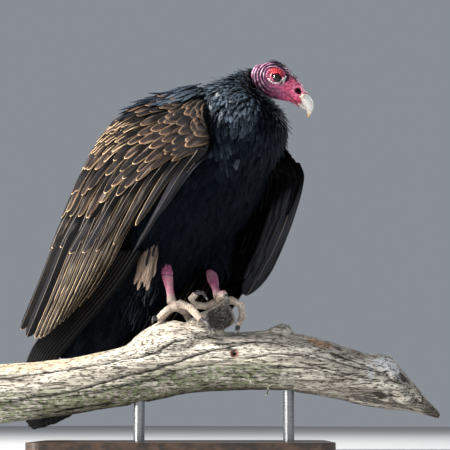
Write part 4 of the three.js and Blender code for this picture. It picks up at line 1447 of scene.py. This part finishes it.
def makeMantle(name, side, p):
    random = np.random.default_rng(150 + side)
    surface = wingSurface(side)
    batches = []
    for row, tipV in enumerate(p["tips"]):
        back = row / 15  # 1 at the shoulder
        count = int(mix(7, 17, back))
        edge = mix(0.6, 0.14, ramp(tipV, 0.05, 0.33))  # how far over the wing the mantle reaches
        u = mix(-0.14, edge, (np.arange(count) + random.uniform(0.1, 0.9, count)) / count)
        length = mix(0.16, 0.085, back) * random.uniform(0.8, 1.25, count)
        tip = stacked(u + random.normal(-0.02, 0.02, count), tipV + random.normal(0, 0.012, count))
        root = stacked(u, tip[:, 1] - length)
        half = mix(8.0, 4.6, back) * mm * random.uniform(0.85, 1.2, count)
        top = (4.8 + random.uniform(-0.4, 9.5, count) * ramp(u, 0.2, -0.04)) * mm
        tone = mix(0.12, 0.75, ramp(tipV, 0.17, 0.06) * ramp(u, 0.0, 0.25)) + random.normal(0, 0.10, count)
        look = newLook(random, count, np.clip(tone, 0, 1), stacked((u + 0.2) * 0.9, 0.03 + row * 0.058))
        batches.append(vanesOn(surface, side, root, tip, half, [-1 * mm, top * 0.7, top], look, p))
    # pointed ones that stand out along the shoulder's outline
    count = p["pointedCount"]
    tip = stacked(random.uniform(-0.02, 0.42, count), random.uniform(0.06, 0.32, count))
    root = tip + stacked(0.03, -random.uniform(0.09, 0.13, count))
    rise = random.uniform(7, 13, count) * mm
    tone = random.uniform(0.0, 0.35, count)
    look = newLook(random, count, tone, tip * 0.9 + 0.04)
    heights = [-1 * mm, 0.45 * rise, rise]
    batches.append(vanesOn(surface, side, root, tip, p["pointedHalf"], heights, look, dict(p, point=1.0)))
    addVanes(f"mantle_{name}", batches)


# the coat of the neck and body: each root is marched down the lie of the coat over the skin
coatLie = {"body": (-0.22, 0.0, -1.0), "back": (-0.72, 0.0, -0.7), "wander": 0.22}


def lieOfCoat(places, normals):
    p = places / mm
    away = p - headPose["place"]
    onBack = ramp(normals[:, 2] - normals[:, 0] * 0.8, 0.1, 0.9)[:, None]
    lie = mix(np.array(coatLie["body"]), np.array(coatLie["back"]), onBack)
    lie = mix(lie, unit(away), (ramp(lengthOf(away), 125, 55) * 0.85)[:, None])
    wander = stacked(*(roughNoise(p, 38, 2, seed) for seed in (21, 22, 23)))
    lie = unit(lie) + coatLie["wander"] * wander
    return unit(lie - normals * (lie * normals).sum(1)[:, None])


def scattered(places, spacing, random):
    # a shuffled choice of places that keep their spacing
    keys = np.floor(places / spacing.max()).astype(int).tolist()
    rows, gaps = places.tolist(), (spacing**2).tolist()
    around = [(x - 1, y - 1, z - 1) for x, y, z in np.ndindex(3, 3, 3)]
    taken, kept = {}, []
    for k in random.permutation(len(places)).tolist():
        (a, b, c), (x, y, z), gap = keys[k], rows[k], gaps[k]
        beside = (q for i, j, l in around for q in taken.get((a + i, b + j, c + l), ()))
        if not any((q[0] - x) ** 2 + (q[1] - y) ** 2 + (q[2] - z) ** 2 < gap for q in beside):
            taken.setdefault((a, b, c), []).append((x, y, z))
            kept.append(k)
    return np.array(kept)


class Coat:
    # the body's skin with its normals, ready for feathers to be laid on it
    def __init__(self, places, faces):
        self.places, self.faces = places, faces
        self.normals = vertexNormals(smoothed(places, edgesOf(faces), 3), faces)
        self.tree = treeOf(places, faces)

    def nearest(self, place):
        # the skin's place nearest to this one, and the skin's normal there
        near, _, face, _ = self.tree.find_nearest(place)
        return np.array(near), unit(self.normals[self.faces[face]].mean(0))

    def open(self):
        # which of the skin's places no wing covers: none within 26 mm outwards or 4 mm all round
        parts = ("coverts", "secondaries", "primaries")
        wings = nodeTree(*[f"wing_{name}_{part}" for name in sides for part in parts], "tail")
        free = []
        for q, n in zip(self.places.tolist(), self.normals.tolist()):
            start = [a + b * 0.0004 for a, b in zip(q, n)]
            hidden = wings.ray_cast(start, n, 0.026)[0] is not None
            free.append(not hidden and wings.find_nearest(q)[3] > 0.004)
        return np.array(free)

    def clear(self, path, steps, gap):
        # moves a line's places out of the skin: the root just under it, the rest above it
        made = path.copy()
        for i, k in np.ndindex(path.shape[:2]):
            near, out = self.nearest(path[i, k])
            least = gap * (steps[k] * 6 - 1) if steps[k] < 0.33 else gap
            if k == 0 or (path[i, k] - near) @ out < least:
                made[i, k] = near + out * least
        return made

    def march(self, roots, normals, lengths, steps, yaw):
        # returns places and normals down each feather's line on the skin
        q, n = roots.copy(), normals.copy()
        path, outs = [roots], [normals]
        for share in np.diff(steps):
            lie = lieOfCoat(q, n)
            lie = unit(lie + np.cross(n, lie) * yaw[:, None])
            ahead = q + lie * (lengths * share)[:, None]
            q, n = (np.array(column) for column in zip(*map(self.nearest, ahead.tolist())))
            path.append(q)
            outs.append(n)
        return np.stack(path, 1), np.stack(outs, 1)


def skinSpot(places):
    # an unwrap of the body's skin: round the trunk's own axis, and along it
    p = places / mm - (20, 0, 300)
    axis = unit(np.array([0.55, 0.0, 0.83]))
    along = p @ axis
    aside = p - along[:, None] * axis
    turn = np.arctan2(aside[:, 1], aside @ unit(np.cross((0, 1, 0), axis)))
    return stacked(turn / (2 * math.pi) * 0.98 + 0.5, (along + 260) / 520)


def layFeathers(coat, chosen, random, p, tone, length, half, lift):
    roots, count, steps = coat.places[chosen], len(chosen), vaneSteps(p["rows"])
    lengths = length * random.uniform(0.8, 1.2, count)
    yaw = random.normal(0, p["yaw"], count)
    path, normals = coat.march(roots, coat.normals[chosen], lengths, steps, yaw)
    rise = lift * random.uniform(0.85, 1.25, count)[:, None] + 0.6 * mm
    curl = p["curl"] * random.normal(0.4, 0.6, (count, 1))
    height = -0.6 * mm + rise * steps**0.8 + curl * steps**3
    path = path + normals * height[..., None]
    line = unit(np.gradient(path, axis=1))
    sideways = unit(np.cross(normals, line))
    outward = unit(np.cross(line, sideways))
    return freeVanes(random, path, sideways, outward, lengths, tone, roots, (0.85, 1.15), half, p)


coatVane = {
    "rows": 6, "columns": 4, "camber": 0.3, "ridge": 0.15 * mm, "thickness": 0.3 * mm, "point": 0.75,
    "waist": 0.65, "ragged": 0.22, "yaw": 0.16, "curl": 1.2 * mm,
}
coatWisp = {
    "rows": 5, "columns": 2, "camber": 0.0, "ridge": 0.0, "thickness": 0.3 * mm, "point": 0.8,
    "waist": 0.8, "yaw": 0.35, "half": 0.75 * mm, "lift": 5.6 * mm,
}
# each part of the coat: what differs from coatVane, its lift and its wisps' curl in millimetres,
# and how many wisps there are for each feather
coatParts = {
    "ruff": ({"yaw": 0.12, "curl": 0.9 * mm, "ragged": 0.34, "camber": 0.15, "point": 0.85}, 5.2, 3.5, 0.9),
    "breast": ({"yaw": 0.09, "curl": 0.4 * mm, "ragged": 0.14, "camber": 0.22}, 4.2, 2.0, 0.35),
    "belly": ({}, 5.2, 3.5, 0.9),
    "thigh": ({}, 5.2, 3.5, 0.9),
}
# the feathers' spacing, length and half width on the body, neck, collar and thighs, in millimetres
coatSizes = {"spacing": (7.6, 4.0, 3.4, 6.2), "length": (34.0, 16.0, 9.0, 24.0), "half": (8.6, 3.4, 2.6, 5.6)}


def makeCoat(body):
    coat = Coat(*body)
    random = np.random.default_rng(7)
    p = coat.places / mm
    fromHeadFar = lengthOf(p - headPose["place"])
    onNeck, collar = ramp(fromHeadFar, 120, 80), ramp(fromHeadFar, 62, 40)
    thighs = nodeTree("thigh_right", "thigh_left")
    nearThigh = np.array([thighs.find_nearest(q)[3] for q in coat.places.tolist()])
    onThigh = ramp(nearThigh, 9 * mm, 5.5 * mm)

    def sized(key):
        trunk, neck, ruff, thigh = coatSizes[key]
        return mix(mix(mix(trunk, neck, onNeck), ruff, collar), thigh, onThigh) * mm

    def near(spot, reach):
        return ramp(lengthOf(p - spot), reach * 1.4, reach * 0.6)

    spacing, length, half = sized("spacing"), sized("length"), sized("half")
    patch = roughNoise(p, 30, 3, 31)
    # painted sheen: paler patches high on the breast
    tone = 0.05 + 0.2 * ramp(patch, 0.0, 0.6) * ramp(p[:, 2], 330, 390)
    # a band of dull grey runs from the throat down the side of the neck
    band = [(143, -37, 430), (127, -47, 446), (116, -54, 448), (121, -61, 413)]
    dull = ramp(np.min([lengthOf(p - spot) for spot in band], axis=0), 30, 14) * ramp(patch, -0.45, 0.05)
    # painted sheen: paler patches near the head
    paintedSheen = ramp(fromHeadFar, 90, 60) * ramp(patch, 0.05, 0.4)
    tone = tone + 0.95 * dull + 0.7 * paintedSheen + 0.28 * onNeck
    # darker towards the bottom
    tone = np.minimum(mix(tone, 0.04, ramp(p[:, 2], 300, 240)), 1.05)
    # painted shade in the hollows above and before the grey, and pale flecks at the nape painted as glints
    tone = tone * (1 - 0.85 * near((118, -62, 427), 11)) * (1 - 0.9 * near((156, -10, 427), 17))
    tone = mix(tone, 0.3, near((122, -57, 398), 13))
    tone[near((116, -54, 449), 24) * 0.09 > random.uniform(0, 1, len(p))] = 1.35

    # the head has no coat
    x, y, z = inHead(coat.places).T
    bare = (np.abs(y) < 22) & (x > -24) & (z > -30) & (z < 24)
    where = np.flatnonzero(coat.open() & ~bare)
    chosen = where[scattered(coat.places[where], spacing[where], random)]
    names = np.where(onNeck[chosen] > 0.25, "ruff", np.where(onThigh[chosen] > 0.5, "thigh", "breast"))
    names = np.where((names == "breast") & (p[chosen, 0] < 10), "belly", names)
    for name, (changes, lift, curl, share) in coatParts.items():
        pick = chosen[names == name]
        vane, wisp = dict(coatVane, **changes), dict(coatWisp, curl=curl * mm)
        feathers = layFeathers(coat, pick, random, vane, tone[pick], length[pick], half[pick], lift * mm)
        thin = random.choice(pick, int(len(pick) * share), replace=False)
        lengths = length[thin] * 1.15
        wisps = layFeathers(coat, thin, random, wisp, tone[thin] * 0.9, lengths, wisp["half"], wisp["lift"])
        addVanes(f"{name}_feathers", [feathers, wisps])
    return coat


# loose feathers that hang or stand away from the coat: middle of their roots, how far these are
# spread, root to tip, how far the tips are spread, outward, count, half width and tone
looseTufts = {
    "flank_tuft": [
        ((1, -63.5, 264), (10, 2, 7), (-12, -1, -43), (5, 1, 6), (-0.3, -0.95, 0.1), 110, 5.2, 2.0),
        ((8, -63, 266), (5, 2, 4), (-8, -1, -26), (3, 1, 7), (-0.3, -0.95, 0.1), 12, 3.2, 0.3),
    ],
    "collar_tufts": [
        ((112, -63, 402), (6, 7, 14), (3, 5, -27), (4, 4, 5), (0.4, -0.9, 0.1), 34, 2.6, 0.45),
        ((112, -55, 382), (6, 6, 10), (2, 8, -26), (4, 4, 5), (0.4, -0.9, 0.1), 22, 2.4, 0.3),
        ((117, -37, 370), (0.5, 0.5, 0.5), (2, 4, -20), (0.5, 0.5, 0.5), (0.5, -0.85, 0.1), 2, 7.0, 1.1),
    ],
    "belly_tufts": [
        ((-40, -30, 216), (20, 10, 6), (-13, 3, -18), (6, 5, 6), (-0.3, -0.9, 0.2), 22, 0.9, 1.1),
        ((-78, -22, 212), (34, 14, 22), (-16, 2, -28), (9, 6, 8), (-0.3, -0.9, 0.2), 120, 1.3, 0.35),
        ((-144, -21, 182), (15, 11, 15), (-37, -7, -60), (5, 4, 6), (-0.2, -0.95, -0.2), 96, 4.6, 0.3),
    ],
}
looseForm = {
    "rows": 8, "columns": 4, "camber": 0.25, "ridge": 0.1 * mm, "thickness": 0.3 * mm, "point": 0.8,
    "waist": 0.7, "ragged": 0.25, "gap": 0.8 * mm,
}


def looseBatch(coat, random, p, middle, spread, line, stray, outward, count, half, tone):
    steps = vaneSteps(p["rows"])
    roots = np.array(middle) + random.uniform(-1, 1, (count, 3)) * spread
    lines = np.array(line) * random.uniform(0.7, 1.15, (count, 1)) + random.normal(0, 0.5, (count, 3)) * stray
    out = unit(np.array(outward, float))
    # the roots are set in the skin, and the rest stays clear of it
    path = coat.clear((roots[:, None] + lines[:, None] * steps[:, None]) * mm, steps, p["gap"])
    bow = (1.5 + random.uniform(0, 2.5, (count, 1))) * np.sin(steps * math.pi * 0.8)
    path = path + out * bow[..., None] * mm
    tangent = unit(np.gradient(path, axis=1))
    sideways = unit(np.cross(out, tangent))
    away = unit(np.cross(tangent, sideways))
    lengths = lengthOf(np.diff(path, axis=1)).sum(1)
    tones = tone + random.uniform(-0.08, 0.08, count)
    return freeVanes(random, path, sideways, away, lengths, tones, roots * mm, (0.8, 1.2), half * mm, p)


def makeLooseTufts(coat, p):
    random = np.random.default_rng(31)
    for name, tufts in looseTufts.items():
        addVanes(name, [looseBatch(coat, random, p, *tuft) for tuft in tufts])


# the limb
limbForm = {
    "line": [(-262, 75), (-185, 82), (-120, 92), (-55, 106), (-6, 117), (45, 118), (98, 119), (150, 112),
             (200, 99), (238, 88), (262, 76), (280, 66), (312, 48)],  # along, height
    "across": -22, "voxel": 1.6 * mm, "fibreDepth": 1.0, "lumpDepth": 1.6, "grooveDepth": 2.2,
    # each crack's width in millimetres, and the places along the limb and angles it runs through
    "cracks": [
        (1.3, [(-262, -0.38), (-155, -0.26), (-92, -0.07), (-17, 0.05), (35, 0.42), (78, 0.62)]),
        (0.9, [(-262, 0.5), (-218, 0.56), (-181, 0.6), (-93, 0.57), (-42, 0.54), (1, 0.71)]),
        (0.7, [(-160, -0.5), (-60, -0.34), (40, -0.12)]),
        (0.8, [(22, 0.55), (80, 0.66), (122, 0.5)]),
        (0.8, [(60, 0.02), (110, 0.2), (162, 0.28)]),
        (0.9, [(90, -0.3), (150, -0.12), (212, -0.18)]),
        (1.0, [(128, 0.0), (190, -0.02), (236, 0.12)]),
        (1.0, [(150, 0.4), (200, 0.32), (243, 0.5)]),
        (0.9, [(170, 0.62), (226, 0.5)]),
        (2.2, [(-200, -1.2), (-150, -1.0), (-95, -1.1)]),
    ],
    # patches of colour, two of them painted shade on the underside: middle along and angle, how far they
    # reach in millimetres and radians
    "patches": [
        ("d3bb9c", (-190, 1.15), (110, 0.5)), ("d8cbb9", (-60, 1.0), (60, 0.35)),
        ("c09a78", (160, 1.0), (20, 0.3)), ("8a7262", (208, 1.0), (14, 0.25)),
        ("f2f3f5", (244, 0.82), (22, 0.42)), ("e8e9ea", (222, 0.35), (6, 0.4)),
        ("3a3733", (182, 0.95), (7, 0.12)), ("2b2420", (234, -0.5), (11, 0.18)),
        # 4a443d along the whole underside and 3f3934 low down near the broken end are painted shade
        ("4a443d", (0, -1.75), (600, 0.6)), ("332d29", (303, -0.1), (20, 1.3)),
        ("35302c", (266, 0.8), (9, 0.22)), ("3f3934", (240, -0.9), (58, 0.22)),
    ],
    # round knots: along, angle, reach and height in millimetres, and how dark the painted shade in the fold
    # under it is
    "knots": [
        (262, -0.15, 16, 8.5, 0.6), (243, 1.25, 28, 6.5, 0.0), (282, 0.3, 6.0, 5.0, 0.9),
        (250, 0.55, 7.0, 2.5, 0.7),
    ],
    "hole": (51, 0.22), "radius": 37, "snag": (77, -17, 171),
    # short broken twigs: from, to, and radii, along, across and up
    "twigs": [((95, -38, 88), (91, -47, 73), 2.6, 1.7), ((67, -52, 99), (73, -59, 87), 1.6, 1.2)],
}


def twigArrays(start, end, wide, narrow):
    start, end = np.array(start, float), np.array(end, float)
    axis = unit(end - start)
    across = unit(np.cross(axis, (1, 0.2, 0)))
    turn = np.linspace(0, 2 * math.pi, 8, endpoint=False)[:, None]
    ring = across * np.cos(turn) + np.cross(axis, across) * np.sin(turn)
    places = np.concatenate([start + ring * wide, end + ring * narrow, [start, end]])
    k = np.arange(8)
    n = (k + 1) % 8
    corners = [(k, n, n + 8), (k, n + 8, k + 8), (n, k, 16), (k + 8, n + 8, 17)]
    return fromLimb(places), np.concatenate([stacked(*faces) for faces in corners])


def makeLimb(p):
    places, faces = joined([solidArrays(["perch"])] + [twigArrays(*twig) for twig in p["twigs"]])
    places, faces = remeshed(places, faces, p["voxel"])
    # the snag between the feet keeps its sharp edges
    snag = lengthOf(places / mm - p["snag"])
    places = smoothed(places, edgesOf(faces), 8, 0.5, 0.85 * ramp(snag, 24, 17))
    snag = lengthOf(places / mm - p["snag"])
    normals = vertexNormals(places, faces)
    q = inLimb(places)
    x = q[:, 0]
    angle = np.arctan2(q[:, 2] - np.interp(x, *np.array(p["line"], float).T), p["across"] - q[:, 1])
    fibres, lumps = roughNoise(q * (1 / 7.0, 1, 1), 6.5, 3, 41), roughNoise(q * (0.4, 1, 1), 34, 2, 51)
    grooves = np.maximum(0, 0.5 - 3.2 * np.abs(roughNoise(q * (0.09, 1, 1), 9, 2, 61)))
    lift = p["fibreDepth"] * fibres + p["lumpDepth"] * lumps - p["grooveDepth"] * grooves
    lift += 2.2 * hill(x, 246, 14) * roughNoise(q, 11, 2, 81)
    wander = 0.07 * roughNoise(q * (0.05, 0.02, 0.02), 1.0, 3, 71)
    crackAndShade = np.zeros(len(q))
    for width, stops in p["cracks"]:
        along, turns = np.array(stops, float).T
        share = (x - along[0]) / (along[-1] - along[0])
        off = (angle - np.interp(x, along, turns) - wander) * p["radius"]
        crackAndShade = most(crackAndShade, hill(off, 0, width) * ramp(share, 0, 0.08) * ramp(share, 1, 0.9))
    # the sawn end is flat, and so is the place beside the broken end
    cut = ramp(x, -260.5, -261.5)
    lift = lift * (1 - cut) * ramp(np.abs(x - 300), 0, 14)
    for along, turn, reach, height, fold in p["knots"]:
        far = np.hypot(x - along, (angle - turn) * 30) / reach * (1 + 0.25 * lumps)
        lift += height * ramp(far, 1.05, 0.25)
        # painted shade in the fold under each knot, laid in with the cracks
        crackAndShade = most(crackAndShade, fold * ramp(angle - turn, 0.25, -0.2) * hill(far, 1.1, 0.17))
    hole = np.hypot(x - p["hole"][0], (angle - p["hole"][1]) * p["radius"])
    lift -= 2.0 * crackAndShade * (1 - cut) + 4.0 * ramp(hole, 4.2, 1.8)

    tint = np.tile(shade("c99c6c"), (len(q), 1))
    stainAndShade = np.zeros(len(q))
    patchy = 1.05 + 0.9 * roughNoise(q * (0.25, 1, 1), 16, 3, 91)
    for code, middle, reach in p["patches"]:
        far = np.hypot((x - middle[0]) / reach[0], (angle - middle[1]) / reach[1])
        share = np.clip(ramp(far, 1.15, 0.45) * patchy, 0, 1)
        tint = paint(tint, code, ramp(share, 0.0, 0.3))
        stainAndShade = most(stainAndShade, share * 0.9)
    # painted shade on the snag wherever its torn faces turn away from straight up
    snagShade = ramp(snag, 21, 14) * ramp(normals[:, 2], 0.8, 0.45)
    for code, share in (("2d2b2b", snagShade), ("8a4526", hill(hole, 4.2, 1.7)), ("1a0d08", ramp(hole, 4.0, 2.2))):
        tint = paint(tint, code, ramp(share, 0.0, 0.5))
        stainAndShade = most(stainAndShade, share)
    lichen = ramp(angle, 0.25, -0.5) * ramp(angle, -2.2, -1.2) * ramp(x, 150, 90)
    mesh = meshFrom("limb", places + normals * lift[:, None] * mm, faces)
    setAttribute(mesh, "wood", q * mm)
    setAttribute(mesh, "tint", tint)
    setAttribute(mesh, "marks", stacked(np.clip(crackAndShade * 1.1, 0, 0.95), lichen, np.clip(stainAndShade, 0, 1)))
    addPiece("limb", mesh, "dead_wood", ["perch"], woodFinish())
    print("limb:", 2 * len(faces), "triangles")


def dressNode(name, material):
    # the node keeps its shape and takes a better finish
    for slot in nodes[name].material_slots:
        slot.link = "OBJECT"
        slot.material = material


addCamera(cameraView)
addLights()
addFloor()
print("studio ready")

bodyFeatherFinish(bodyColours)
for name, changes in wingFinishes.items():
    wingFeatherFinish(name, dict(flightColours, **changes))
body = makeSkin()
for name, side in sides.items():
    makeEye(name, side)
makeNostrilShade()
makeHorns()

for name, side in sides.items():
    makeCoverts(name, side, covertForm)
    makeSecondaries(name, side, flightForm)
    makePrimaries(name, side, primaryForm)
    makeLiners(name, side, linerForm)
    makeMantle(name, side, mantleForm)
makeTail(tailForm)
makeBristles(bristleForm)
coat = makeCoat(body)
makeLooseTufts(coat, looseForm)
makeLimb(limbForm)

dressNode("stand_base", standWoodFinish())
steel = rodFinish()
dressNode("stand_rod_1", steel)
dressNode("stand_rod_2", steel)
